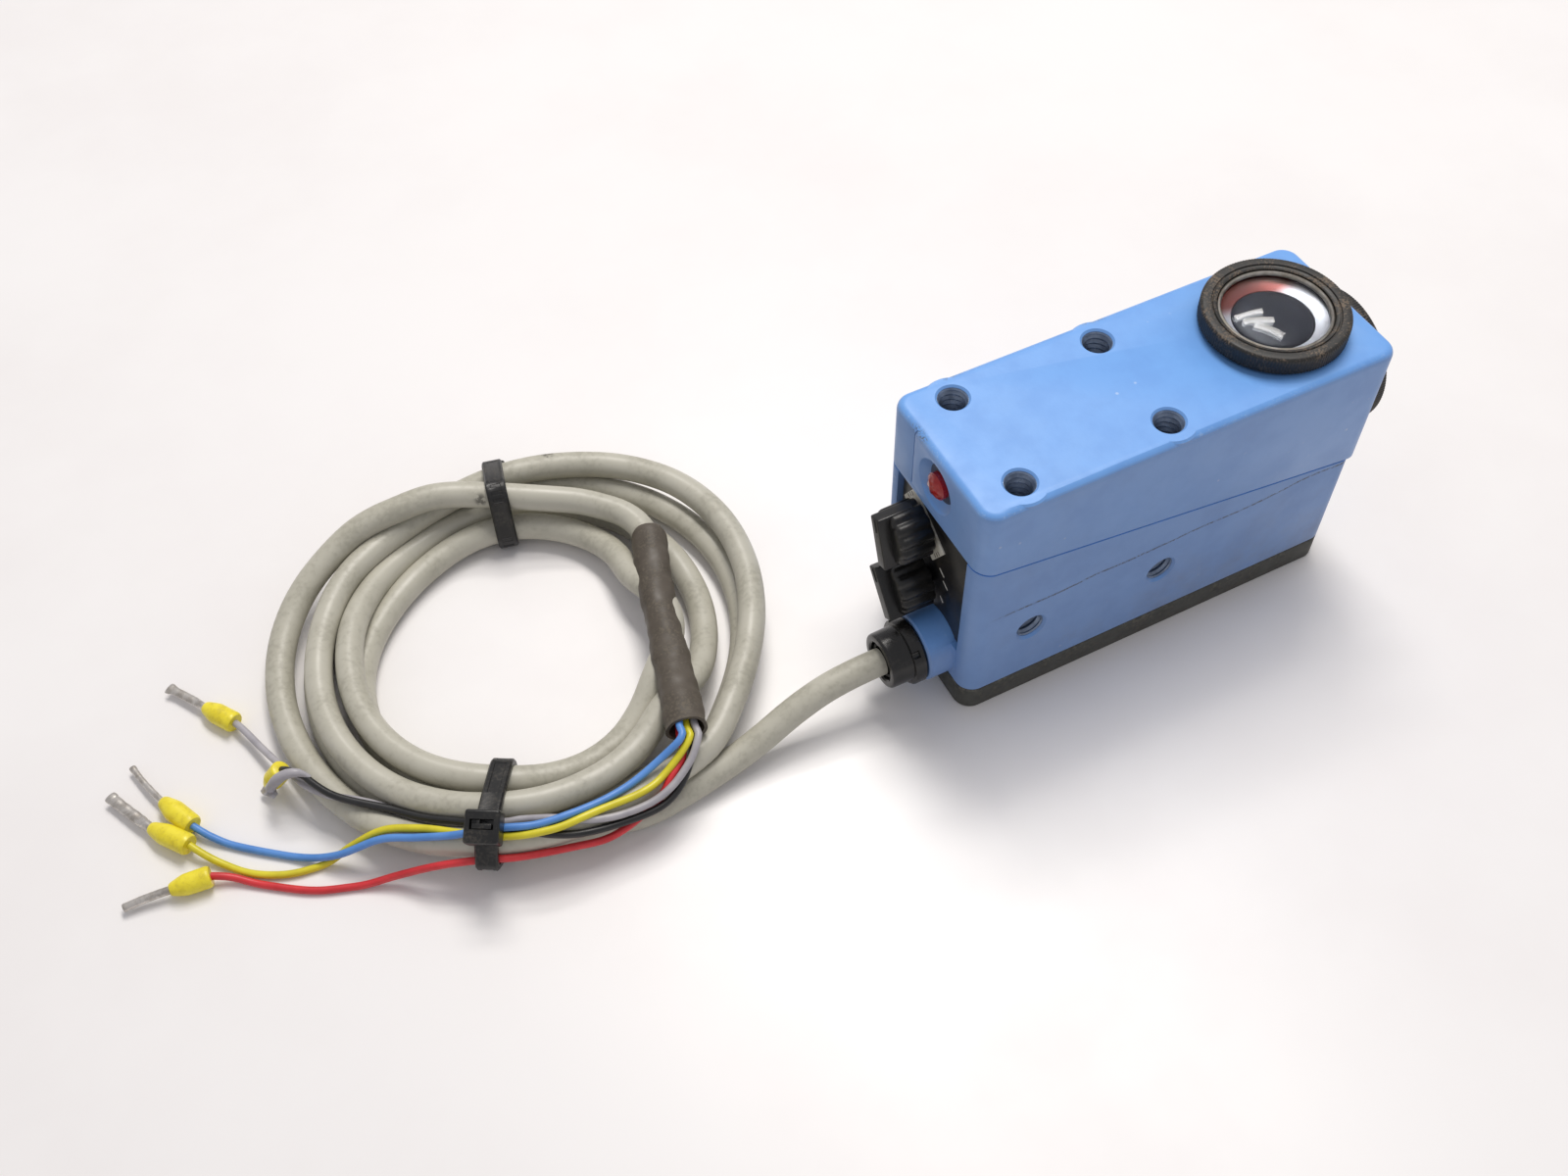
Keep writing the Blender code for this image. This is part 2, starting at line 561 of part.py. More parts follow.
def build_gland():
    """The notched cable gland and the rubber insert that grips the lead."""
    root = (X_REAR - BOSS_REACH - GAP, CABLE_Y, CABLE_Z)
    reach = GLAND_REACH - BOSS_REACH - GAP
    flange = 2.2 * MM
    profile = (
        (3.7 * MM, -4.4 * MM), (3.7 * MM, 0), (6.0 * MM, 0), (6.1 * MM, 0.2 * MM), (6.1 * MM, flange),
        (5.2 * MM, flange + 0.1 * MM), (5.2 * MM, reach - 0.4 * MM), (4.8 * MM, reach), (3.9 * MM, reach),
        (3.6 * MM, reach - 0.5 * MM), (3.6 * MM, 1.4 * MM), (2.8 * MM, 1.2 * MM), (2.8 * MM, -4.4 * MM),
    )
    gland = add_object("cable_gland", turned_mesh(profile, root, (-1, 0, 0), 32), black_plastic())
    for index in range(4):
        angle = math.radians(45 + 90 * index)
        y = CABLE_Y + 6.5 * MM * math.cos(angle)
        z = CABLE_Z + 6.5 * MM * math.sin(angle)
        notch = rod_mesh((root[0] - 0.9 * MM, y, z), (root[0] - 4 * MM, y, z), 0.9 * MM, 10)
        boolean(gland, tool(f"gland_notch_{index}", notch))
    insert = ((2.75 * MM, 1.9 * MM), (3.3 * MM, 1.9 * MM), (3.3 * MM, reach - 0.7 * MM), (2.75 * MM, reach - 0.7 * MM))
    add_object("gland_insert", turned_mesh(insert, root, (-1, 0, 0), 24), seal_rubber())


def build_optics():
    """The optics block with its splitter plate, emitter and receiver, on the two port axes."""
    block_half = 9.6 * MM
    low, high = (LENS_X - 11 * MM, -block_half, PORT_Z - 9 * MM), (LENS_X + 11.2 * MM, block_half, PORT_Z + 9 * MM)
    block = add_object("optics_block", box_mesh(low, high), black_plastic())
    upright = rod_mesh((LENS_X, 0, PORT_Z - 20 * MM), (LENS_X, 0, PORT_Z + 20 * MM), 7.6 * MM, 28)
    boolean(block, tool("upright_bore", upright))
    level = rod_mesh((LENS_X - 20 * MM, 0, PORT_Z), (LENS_X + 20 * MM, 0, PORT_Z), 5.4 * MM, 24)
    boolean(block, tool("level_bore", level))
    half_plate = 4.6 * MM
    plate = box_mesh((-half_plate, -half_plate, -0.5 * MM), (half_plate, half_plate, 0.5 * MM))
    splitter = add_object("splitter_plate", plate, clear_glass())
    splitter.location = (LENS_X, 0, PORT_Z)
    splitter.rotation_euler = (0, math.radians(-45), 0)
    emitter = ((0, 0), (3.4 * MM, 0), (3.4 * MM, 1.6 * MM), (2.4 * MM, 1.6 * MM), (2.4 * MM, 4.4 * MM),
               (1.4 * MM, 5.8 * MM), (0, 6.2 * MM))
    emitter_x = LENS_X - 18.5 * MM
    add_object("emitter_diode", turned_mesh(emitter, (emitter_x, 0, PORT_Z), (1, 0, 0), 20), clear_glass())
    carrier = box_mesh((emitter_x - 2 * MM, -6 * MM, PORT_Z - 6 * MM), (emitter_x - GAP, 6 * MM, PORT_Z + 6 * MM))
    add_object("emitter_carrier", carrier, board_laminate())
    receiver = ((0, 0), (4.0 * MM, 0), (4.0 * MM, 1.4 * MM), (3.2 * MM, 1.4 * MM), (3.2 * MM, 3.2 * MM), (0, 3.2 * MM))
    receiver_z = PORT_Z - 14.5 * MM
    add_object("receiver_diode", turned_mesh(receiver, (LENS_X, 0, receiver_z), (0, 0, 1), 20), steel())
    shelf = box_mesh(
        (LENS_X - 9 * MM, -8 * MM, receiver_z - 2 * MM), (LENS_X + 9 * MM, 8 * MM, receiver_z - GAP)
    )
    add_object("receiver_board", shelf, board_laminate())


def build_electronics():
    """The main board along the housing, with the block that the lead's wires end in."""
    board_y = 6.2 * MM
    board = box_mesh((-18 * MM, board_y, 8.5 * MM), (14.5 * MM, board_y + 1.5 * MM, 40 * MM))
    add_object("main_board", board, board_laminate())
    block = box_mesh((-17 * MM, board_y - GAP - 6 * MM, 9.5 * MM), (-2 * MM, board_y - GAP, 15.5 * MM))
    add_object("terminal_block", block, black_plastic())


def smooth_route(controls, spacing):
    """Return evenly spaced points on a Catmull-Rom curve through the controls."""
    dense = []
    padded = [2 * controls[0] - controls[1], *controls, 2 * controls[-1] - controls[-2]]
    for a, b, c, d in zip(padded, padded[1:], padded[2:], padded[3:]):
        for step in range(24):
            t = step / 24
            dense.append(
                0.5 * (2 * b + (c - a) * t + (2 * a - 5 * b + 4 * c - d) * t ** 2 + (3 * b - a - 3 * c + d) * t ** 3)
            )
    dense.append(controls[-1])
    lengths = [0.0]
    for start, end in zip(dense, dense[1:]):
        lengths.append(lengths[-1] + (end - start).length)
    count = max(2, round(lengths[-1] / spacing))
    points, index = [], 0
    for step in range(count + 1):
        target = lengths[-1] * step / count
        while index < len(dense) - 2 and lengths[index + 1] < target:
            index += 1
        share = (target - lengths[index]) / (lengths[index + 1] - lengths[index])
        points.append(dense[index].lerp(dense[index + 1], share))
    return points


def build_tube(name, route, radius, material, spacing_in_radii=5, resolution=2):
    """A round tube along a smooth route given in millimetres."""
    controls = [Vector(point) * MM for point in route]
    points = smooth_route(controls, spacing_in_radii * radius)
    curve = bpy.data.curves.new(name, "CURVE")
    curve.dimensions = "3D"
    curve.bevel_depth = radius
    curve.bevel_resolution = resolution
    curve.use_fill_caps = True
    spline = curve.splines.new("POLY")
    spline.points.add(len(points) - 1)
    for target, point in zip(spline.points, points):
        target.co = (*point, 1.0)
    curve.materials.append(material)
    obj = bpy.data.objects.new(name, curve)
    bpy.context.scene.collection.objects.link(obj)


# The lead from the gland to the coil, and from the coil to its shrink sleeve, in millimetres.
LEAD_ROUTE = (
    (-47.8, -4.5, 9.8), (-53, -4.5, 9.7), (-59, -4.6, 8.9), (-65, -5.2, 7.2), (-71, -6.3, 5.2), (-76, -7.4, 3.9),
)
TAIL_ROUTE = ((-88, 57.8, 11.9), (-80.5, 54.9, 11.9), (-74.8, 50.2, 12.2), (-72.6, 46, 12.4), (-73.05, 43.6, 12.5))
SLEEVE_ROUTE = ((-73.3, 42.0, 12.5), (-76, 31, 12.5), (-79.4, 17, 12.5), (-82, 7, 12.5), (-83.8, -0.6, 12.5))

# The five cores run side by side over the coil; each list is where a core goes once past the lower tie.
MOUTH = Vector((-83.9, -1.05, 12.5))
MOUTH_ACROSS = Vector((0.969, -0.248, 0))
MOUTH_OUT = Vector((-0.248, -0.969, 0))
LANE_CENTRES = (
    ((-89.5, -5.2, 10.4), (0.9, -1.4)), ((-96.8, -6.4, 10), (0.3, -1.68)), ((-104.8, -6.9, 10), (0, -1.7)),
    ((-112.5, -6.2, 10), (-0.2, -1.69)), ((-118.5, -4.9, 10), (-0.4, -1.66)),
)
CORES = {
    "grey": {
        "colour": (0.36, 0.35, 0.37), "lane": -2, "mouth": (-1.9, -1.2),
        "end": ((-124.0, 3.0, 10), (-131.6, 10.4, 10), (-139.7, 16.9, 10), (-145.6, 25.4, 10), (-147.2, 29.8, 8.4),
                (-149.3, 34.6, 4.8), (-151.7, 39.4, 2.1), (-153.2, 42.6, 1.6)),
        "ferrule": ((-153.4, 42.9, 1.6), (-157.0, 49.4, 1.6), (-161.2, 56.2, 1.4)),
    },
    "black": {
        "colour": (0.015, 0.015, 0.015), "lane": -1, "mouth": (-0.8, 1.1),
        "end": ((-124.4, 0.8, 10), (-132.0, 7.8, 10), (-140.2, 14.2, 10), (-145.0, 19.4, 10), (-147.3, 22.6, 8.6),
                (-148.9, 25.2, 6.4), (-149.9, 26.4, 5.0)),
        "ferrule": ((-150.5, 26.9, 4.5), (-154.6, 25.6, 2.1), (-157.1, 24.8, 0.8)),
    },
    "blue": {
        "colour": (0.03, 0.14, 0.50), "lane": 0, "mouth": (0, -1.2),
        "end": ((-124.7, -2.0, 10), (-130.8, 1.6, 10), (-136.8, 4.4, 10), (-144.8, 7.7, 5), (-151.9, 12.6, 1.6),
                (-159, 18.1, 0.95), (-162.6, 22.6, 1.3), (-164.5, 26.1, 1.6)),
        "ferrule": ((-164.6, 26.5, 1.6), (-167.4, 32.7, 1.6), (-171.9, 41.6, 1.3)),
    },
    "yellow": {
        "colour": (0.75, 0.60, 0.04), "lane": 1, "mouth": (0.95, 1.0),
        "end": ((-124.9, -4.4, 10), (-130.9, -1.0, 10), (-136.8, 1.8, 9), (-143.5, 4.8, 4.5), (-150, 8.0, 0.95),
                (-157, 11.8, 0.95), (-162, 15.3, 0.95), (-165.0, 19.4, 1.4), (-166.5, 21.9, 1.6)),
        "ferrule": ((-166.7, 22.3, 1.6), (-171.2, 28.0, 1.6), (-176.3, 37.0, 1.3)),
    },
    "red": {
        "colour": (0.50, 0.03, 0.03), "lane": 2, "mouth": (1.9, -1.2),
        "end": ((-124.8, -6.8, 10), (-130.5, -4.0, 8.6), (-136.5, -0.4, 5), (-143.5, 2.5, 1.6), (-150, 5.0, 0.95),
                (-157, 9.2, 0.95), (-161.5, 12.8, 1.4), (-163.8, 14.2, 1.6)),
        "ferrule": ((-164.2, 14.4, 1.6), (-170.8, 15.3, 1.6), (-178.7, 16.9, 1.2)),
    },
}
STUB_ROUTE = ((-149.4, 22.2, 5.8), (-151.8, 22.4, 5.4), (-154.2, 20.8, 3.8), (-155.2, 18.8, 1.8))


def core_route(core):
    """Return a core's whole route: out of the sleeve, along its lane, then its own way to its ferrule."""
    across, lift = core["mouth"]
    start = MOUTH + MOUTH_ACROSS * across + Vector((0, 0, lift))
    lane = [
        (centre[0] + shift[0] * core["lane"], centre[1] + shift[1] * core["lane"], centre[2])
        for centre, shift in LANE_CENTRES
    ]
    lane[0] = (lane[0][0], lane[0][1], lane[0][2] + max(lift, 0))
    return [tuple(start), tuple(start + 1.6 * MOUTH_OUT), *lane, *core["end"]]


def build_ferrule(name, places):
    """The yellow collar and metal barrel crimped on one core."""
    start, shoulder, tip = (Vector(place) * MM for place in places)
    length = (shoulder - start).length
    taper = 1.7 * MM
    wide, narrow = 1.45 * MM, 0.9 * MM
    outline = ((0, 0), (wide, 0), (wide, length - taper), (narrow, length), (0, length))
    collar = turned_mesh(outline, start, (shoulder - start).normalized(), 14)
    add_object(f"collar_{name}", collar, yellow_collar())
    along = (tip - shoulder).normalized()
    barrel = rod_mesh(shoulder + along * 1.5 * GAP, tip, 0.6 * MM, 10)
    add_object(f"barrel_{name}", barrel, tinned_copper())


def build_wiring():
    """The lead, its coil as one plain ring, the sleeve over its end and the five ferruled cores."""
    build_tube("cable_lead", LEAD_ROUTE, CABLE_RADIUS, grey_pvc(), 4, 3)
    build_tube("cable_tail", TAIL_ROUTE, CABLE_RADIUS, grey_pvc(), 3, 3)
    build_tube("shrink_sleeve", SLEEVE_ROUTE, SLEEVE_RADIUS, shrink_sleeve(), 2.5, 3)
    radius_x, radius_y = COIL_OUTER
    steps = 10
    half_band, half_height = COIL_BAND / 2, (COIL_TOP - COIL_BOTTOM) / 2
    section = [
        (radius_x - half_band + half_band * math.cos(2 * math.pi * step / steps),
         COIL_BOTTOM + half_height + half_height * math.sin(2 * math.pi * step / steps))
        for step in range(steps)
    ]
    coil = turned_mesh(section, (0, 0, 0), (0, 0, 1), 36)
    bmesh.ops.scale(coil, vec=(1, radius_y / radius_x, 1), verts=coil.verts)
    bmesh.ops.translate(coil, vec=COIL_CENTRE, verts=coil.verts)
    add_object("cable_coil", coil, grey_pvc())
    for name, core in CORES.items():
        build_tube(f"core_{name}", core_route(core), WIRE_RADIUS, wire_pvc(name, core["colour"]), 6)
        build_ferrule(name, core["ferrule"])
    build_tube("core_stub", STUB_ROUTE, 0.75 * MM, wire_pvc("stub", (0.5, 0.5, 0.52)), 2.5)


def build_tie(name, turn, inward, outward, top, head_low, head_high):
    """A closed cable tie round the coil's section, with its lock head."""
    half_band = COIL_BAND / 2
    radius_x, radius_y = COIL_OUTER[0] - half_band, COIL_OUTER[1] - half_band * COIL_OUTER[1] / COIL_OUTER[0]
    centre = COIL_CENTRE + Vector((radius_x * math.cos(turn), radius_y * math.sin(turn), 0))
    normal = Vector((math.cos(turn) / radius_x, math.sin(turn) / radius_y, 0)).normalized()
    frame = Matrix.Translation(centre) @ Matrix.Rotation(math.atan2(normal.y, normal.x), 4, "Z")
    thick, half_wide = 1.1 * MM, 1.8 * MM
    band = add_object(name, box_mesh((-inward - thick, -half_wide, 0), (outward + thick, half_wide, top + thick)),
                      black_plastic())
    window = tool(name + "_window", box_mesh((-inward, -2 * half_wide, thick), (outward, 2 * half_wide, top)))
    head = tool(name + "_head", box_mesh(Vector(head_low) * MM, Vector(head_high) * MM))
    for piece in (band, window, head):
        piece.matrix_world = frame
    boolean(band, window)
    boolean(band, head, "UNION")


def build_ties():
    """The two ties that hold the coil; the lower one also holds the cores."""
    build_tie("cable_tie_upper", math.radians(79.5), 9.6 * MM, 9.6 * MM, 9.3 * MM, (10.2, -2.4, 3), (12.6, 2.4, 7.6))
    build_tie("cable_tie_lower", math.radians(240.3), 10.4 * MM, 12.2 * MM, 11.1 * MM, (3, -2.7, 11.8), (8, 2.7, 15.2))


def main():
    """Build the whole sensor."""
    clear_scene()
    build_upper_housing()
    build_lower_housing()
    build_base()
    build_lens_unit()
    build_blank_cap()
    build_controls()
    build_plates()
    build_lamp()
    build_gland()
    build_optics()
    build_electronics()
    build_wiring()
    build_ties()


main()
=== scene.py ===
"""Looks of a photoelectric contrast sensor with a coiled, tied lead and five ferruled wires.

Each sub-assembly is a class that builds its own surfaces as numpy grids and dresses them in
node-based finishes. Lengths are millimetres inside the classes and metres in the meshes.
"""
import logging
import math
from collections.abc import Callable
from dataclasses import dataclass, field
from enum import Enum

import bpy
import numpy as np
from mathutils import Matrix, Vector


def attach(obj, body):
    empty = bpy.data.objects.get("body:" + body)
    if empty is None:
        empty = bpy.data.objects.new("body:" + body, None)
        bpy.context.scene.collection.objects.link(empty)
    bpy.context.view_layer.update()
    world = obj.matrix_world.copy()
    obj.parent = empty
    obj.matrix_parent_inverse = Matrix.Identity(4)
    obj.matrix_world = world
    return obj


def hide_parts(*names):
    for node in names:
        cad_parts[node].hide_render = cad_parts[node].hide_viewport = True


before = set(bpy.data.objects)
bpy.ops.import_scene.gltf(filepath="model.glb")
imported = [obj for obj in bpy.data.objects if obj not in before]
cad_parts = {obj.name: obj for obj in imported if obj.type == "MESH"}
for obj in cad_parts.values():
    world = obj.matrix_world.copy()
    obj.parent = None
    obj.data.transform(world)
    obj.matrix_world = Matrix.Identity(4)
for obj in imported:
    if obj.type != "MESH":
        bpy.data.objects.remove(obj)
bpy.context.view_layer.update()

LOG = logging.getLogger("sensor")
MM = 0.001
HOUSING = "housing"
REAR, FRONT, HALF, ROOF = -36.2, 43.8, 15.2, 52.9
CABLE_SPOT, DIAL_SPOT, SELECTOR_SPOT = (-4.5, 9.8), (3.0, 33.0), (1.5, 20.8)
LAMP_HEIGHT = 46.0
Socket, Tree = bpy.types.NodeSocket, bpy.types.NodeTree
Value = Socket | float | tuple


# ---------------------------------------------------------------- surfaces

@dataclass
class Surface:
    """Points of one or more closed shells in millimetres, with their faces."""

    points: np.ndarray
    faces: list

    def plus(self, other: "Surface") -> "Surface":
        """Return both surfaces as one.

        Args:
            other: the surface to add.

        Returns:
            A surface with both sets of faces.
        """
        shift = len(self.points)
        moved = [tuple(int(i) + shift for i in face) for face in other.faces]
        return Surface(np.vstack([self.points, other.points]), list(self.faces) + moved)

    def moved(self, matrix: Matrix) -> "Surface":
        """Return the surface under a 4 x 4 matrix in millimetres."""
        m = np.array(matrix)
        return Surface(self.points @ m[:3, :3].T + m[:3, 3], self.faces)


def skin(rings: np.ndarray, closed: bool = False) -> Surface:
    """Join rings of points into a tube: point (i, j) is the j-th point of ring i.

    Args:
        rings: array of rings x points x 3, in millimetres.
        closed: whether the last ring meets the first; otherwise both ends get a flat cap.

    Returns:
        A closed shell.
    """
    count, sides = rings.shape[:2]
    i = np.arange(count if closed else count - 1)[:, None]
    j = np.arange(sides)[None, :]
    following, after = (i + 1) % count, (j + 1) % sides
    quads = np.stack([i * sides + j, i * sides + after, following * sides + after, following * sides + j], -1)
    faces = [tuple(face) for face in quads.reshape(-1, 4).tolist()]
    if not closed:
        faces.append(tuple(range(sides))[::-1])
        faces.append(tuple(range((count - 1) * sides, count * sides)))
    return Surface(rings.reshape(-1, 3), faces)


def facing(axis: tuple, origin: tuple) -> Matrix:
    """Return the matrix that stands local +Z on the axis at the origin, in millimetres."""
    turn = Vector((0, 0, 1)).rotation_difference(Vector(axis)).to_matrix().to_4x4()
    return Matrix.Translation(Vector(origin)) @ turn


def turned(profile: list, origin: tuple, axis: tuple = (0, 0, 1), sides: int = 96,
           grip: Callable | None = None) -> Surface:
    """Turn an outline round an axis: point (i, j) = (r_i + grip(r_i, h_i, a_j), h_i) at angle a_j.

    Args:
        profile: (radius, height) pairs from the lower pole outwards to the upper pole, or a closed outline.
        origin: where height 0 of the axis is.
        axis: direction of the axis.
        sides: points round the axis.
        grip: optional change of radius as a function of radius, height and angle.

    Returns:
        A closed shell, with small flat caps where the outline meets the axis.
    """
    outline = np.array(profile, float)
    loop = outline[0, 0] > 0.001 and outline[-1, 0] > 0.001
    radius = np.maximum(outline[:, 0], 0.02)[:, None]
    height = outline[:, 1][:, None]
    angle = np.linspace(0, 2 * math.pi, sides, endpoint=False)[None, :]
    reach = radius + (grip(radius, height, angle) if grip else 0.0)
    rings = np.stack([reach * np.cos(angle), reach * np.sin(angle), height + 0 * angle], -1)
    return skin(rings, closed=loop).moved(facing(axis, origin))


def plug(radius: float, low: float, high: float, origin: tuple, axis: tuple, sides: int) -> Surface:
    """Return a plain cylinder from one height to another along an axis.

    Args:
        radius: its radius.
        low: where it starts along the axis.
        high: where it ends.
        origin: where height 0 is.
        axis: direction of the axis.
        sides: points round it.

    Returns:
        A closed shell.
    """
    return turned([(0, low), (radius, low), (radius, high), (0, high)], origin, axis, sides)


def rounded_box(half: tuple, radius: float, place: Matrix, steps: int = 5) -> Surface:
    """Make a box with round edges: rings of a rounded rectangle that shrink by a quarter circle at both ends.

    Args:
        half: half sizes along local X, Y and Z.
        radius: edge radius.
        place: where the box's middle goes.
        steps: points in each quarter circle.

    Returns:
        A closed shell.
    """
    turn = np.linspace(0, math.pi / 2, steps)
    inset = np.concatenate([radius * (1 - np.sin(turn)), radius * (1 - np.cos(turn))])
    height = np.concatenate([-half[2] + radius * (1 - np.cos(turn)), half[2] - radius * (1 - np.sin(turn))])
    corner = np.concatenate([turn + k * math.pi / 2 for k in range(4)])
    sign_x = np.repeat([1, -1, -1, 1], steps)
    sign_y = np.repeat([1, 1, -1, -1], steps)
    grow = (radius - inset)[:, None]
    x = sign_x * (half[0] - radius) + grow * np.cos(corner)
    y = sign_y * (half[1] - radius) + grow * np.sin(corner)
    rings = np.stack([x, y, height[:, None] + 0 * x], -1)
    return skin(rings).moved(place)


def block(x_low: float, x_high: float, half: float, corner: float, levels: list, arc: int = 12) -> Surface:
    """Make a block with round upright edges from (height, inset) levels of one rounded rectangle.

    Args:
        x_low: lowest X.
        x_high: highest X.
        half: half width along Y.
        corner: radius of the upright edges.
        levels: (height, inset) from the bottom up.
        arc: points in each corner.

    Returns:
        A closed shell with flat ends.
    """
    turn = np.linspace(0, math.pi / 2, arc)
    corner_turn = np.concatenate([turn + k * math.pi / 2 for k in range(4)])
    sign_x = np.repeat([1, -1, -1, 1], arc)
    sign_y = np.repeat([1, 1, -1, -1], arc)
    height, inset = np.array(levels, float).T
    round_now = np.maximum(corner - inset, 0.05)[:, None]
    middle, reach = (x_low + x_high) / 2, (x_high - x_low) / 2
    x = middle + sign_x * (reach - inset[:, None] - round_now) + round_now * np.cos(corner_turn)
    y = sign_y * (half - inset[:, None] - round_now) + round_now * np.sin(corner_turn)
    return skin(np.stack([x, y, height[:, None] + 0 * x], -1))


def smooth_path(controls: list, spacing: float) -> np.ndarray:
    """Return evenly spaced points on the Catmull-Rom curve through the controls.

    Args:
        controls: points in millimetres.
        spacing: distance between the points returned.

    Returns:
        An array of points.
    """
    p = np.array(controls, float)
    p = np.vstack([2 * p[0] - p[1], p, 2 * p[-1] - p[-2]])
    t = np.linspace(0, 1, 24, endpoint=False)[None, :, None]
    a, b, c, d = (p[k:len(p) - 3 + k, None, :] for k in range(4))
    dense = 0.5 * (2 * b + (c - a) * t + (2 * a - 5 * b + 4 * c - d) * t ** 2 + (3 * b - a - 3 * c + d) * t ** 3)
    return evenly(np.vstack([dense.reshape(-1, 3), p[-2]]), spacing)


def evenly(points: np.ndarray, spacing: float) -> np.ndarray:
    """Return the polyline's points at an even distance along it."""
    run = np.concatenate([[0], np.cumsum(np.linalg.norm(np.diff(points, axis=0), axis=1))])
    marks = np.linspace(0, run[-1], max(3, round(run[-1] / spacing) + 1))
    return np.stack([np.interp(marks, run, points[:, k]) for k in range(3)], -1)


def path_frame(path: np.ndarray) -> tuple:
    """Return the unit tangent, side and rise at each point of a path that never runs upright."""
    tangent = np.gradient(path, axis=0)
    tangent /= np.linalg.norm(tangent, axis=1)[:, None]
    side = np.cross(tangent, (0, 0, 1))
    side /= np.linalg.norm(side, axis=1)[:, None]
    return tangent, side, np.cross(side, tangent)


def swept(path: np.ndarray, radius: float | np.ndarray, sides: int = 20, wide: float | np.ndarray = 1.0,
          high: float | np.ndarray = 1.0) -> Surface:
    """Carry an ellipse along a path: centre(s) + radius(s) (wide cos(a) side(s) + high sin(a) rise(s)).

    Args:
        path: centre line in millimetres.
        radius: one number or one for each point.
        sides: points round the tube.
        wide: sideways stretch, one number or one for each point.
        high: upward stretch, one number or one for each point.

    Returns:
        A closed tube with flat ends.
    """
    _, side, rise = path_frame(path)
    reach = np.broadcast_to(np.asarray(radius, float), (len(path),))[:, None, None]
    wide = np.broadcast_to(np.asarray(wide, float), (len(path),))[:, None, None]
    high = np.broadcast_to(np.asarray(high, float), (len(path),))[:, None, None]
    angle = np.linspace(0, 2 * math.pi, sides, endpoint=False)[None, :, None]
    ring = wide * np.cos(angle) * side[:, None, :] - high * np.sin(angle) * rise[:, None, :]
    return skin(path[:, None, :] + reach * ring)


def mesh_object(name: str, surface: Surface, smooth_angle: float = 35.0) -> bpy.types.Object:
    """Put a surface in millimetres into a new mesh object at the origin.

    Args:
        name: the piece's name.
        surface: its points and faces.
        smooth_angle: edges sharper than this, in degrees, stay sharp.

    Returns:
        The object, linked to the scene.
    """
    mesh = bpy.data.meshes.new(name)
    mesh.from_pydata((surface.points * MM).tolist(), [], surface.faces)
    mesh.validate()
    mesh.shade_smooth()
    mesh.set_sharp_from_angle(angle=math.radians(smooth_angle))
    obj = bpy.data.objects.new(name, mesh)
    bpy.context.scene.collection.objects.link(obj)
    return obj


def settle_modifiers(obj: bpy.types.Object, smooth_angle: float = 35.0) -> None:
    """Replace an object's mesh with what its modifiers make of it, and drop the modifiers."""
    graph = bpy.context.evaluated_depsgraph_get()
    made = bpy.data.meshes.new_from_object(obj.evaluated_get(graph), depsgraph=graph)
    obj.modifiers.clear()
    obj.data = made
    made.shade_smooth()
    made.set_sharp_from_angle(angle=math.radians(smooth_angle))


def carve(obj: bpy.types.Object, cuts: list, operation: str = "DIFFERENCE") -> None:
    """Cut surfaces out of an object, or join them on, one after another.

    Args:
        obj: the piece to work on.
        cuts: surfaces in millimetres.
        operation: the Boolean operation.
    """
    tools = [mesh_object(f"{obj.name}_tool_{index}", cut) for index, cut in enumerate(cuts)]
    for cutter in tools:
        modifier = obj.modifiers.new(cutter.name, "BOOLEAN")
        modifier.operation = operation
        modifier.solver = "EXACT"
        modifier.object = cutter
    settle_modifiers(obj)
    for cutter in tools:
        bpy.data.objects.remove(cutter, do_unlink=True)


def ease_edges(obj: bpy.types.Object, width: float, segments: int = 2, limit: float = 40.0) -> None:
    """Round an object's sharp edges.

    Args:
        obj: the piece.
        width: how wide the rounding is, in millimetres.
        segments: faces across it.
        limit: edges sharper than this, in degrees, are rounded.
    """
    bevel = obj.modifiers.new("eased", "BEVEL")
    bevel.width = width * MM
    bevel.segments = segments
    bevel.limit_method = "ANGLE"
    bevel.angle_limit = math.radians(limit)
    bevel.use_clamp_overlap = True
    bevel.miter_outer = "MITER_ARC"
    settle_modifiers(obj, 60)


# ---------------------------------------------------------------- finishes

def linear(code: str) -> tuple:
    """Return an sRGB hex colour as linear RGBA."""
    channels = [int(code[k:k + 2], 16) / 255 for k in (1, 3, 5)]
    return (*[c / 12.92 if c <= 0.04045 else ((c + 0.055) / 1.055) ** 2.4 for c in channels], 1.0)


def add(tree: Tree, kind: str, inputs: dict | None = None, **settings) -> bpy.types.Node:
    """Add a node with its settings, values and links.

    Args:
        tree: the node tree.
        kind: the node's type without its ShaderNode prefix.
        inputs: socket name or number to a value, or to the socket that feeds it.
        settings: attributes of the node.

    Returns:
        The node.
    """
    made = tree.nodes.new("ShaderNode" + kind)
    for key, value in settings.items():
        setattr(made, key, value)
    for key, value in (inputs or {}).items():
        if isinstance(value, Socket):
            tree.links.new(value, made.inputs[key])
        else:
            made.inputs[key].default_value = value
    return made


def blend(tree: Tree, amount: Value, first: Value, second: Value) -> Socket:
    """Mix two colours by an amount between 0 and 1."""
    return add(tree, "Mix", {0: amount, 6: first, 7: second}, data_type="RGBA", blend_type="MIX").outputs[2]


def figure(tree: Tree, operation: str, first: Value, second: Value = 0.0, third: Value | None = None) -> Socket:
    """Return the result of arithmetic on values, not clamped."""
    values = {0: first, 1: second}
    if third is not None:
        values[2] = third
    return add(tree, "Math", values, operation=operation).outputs[0]


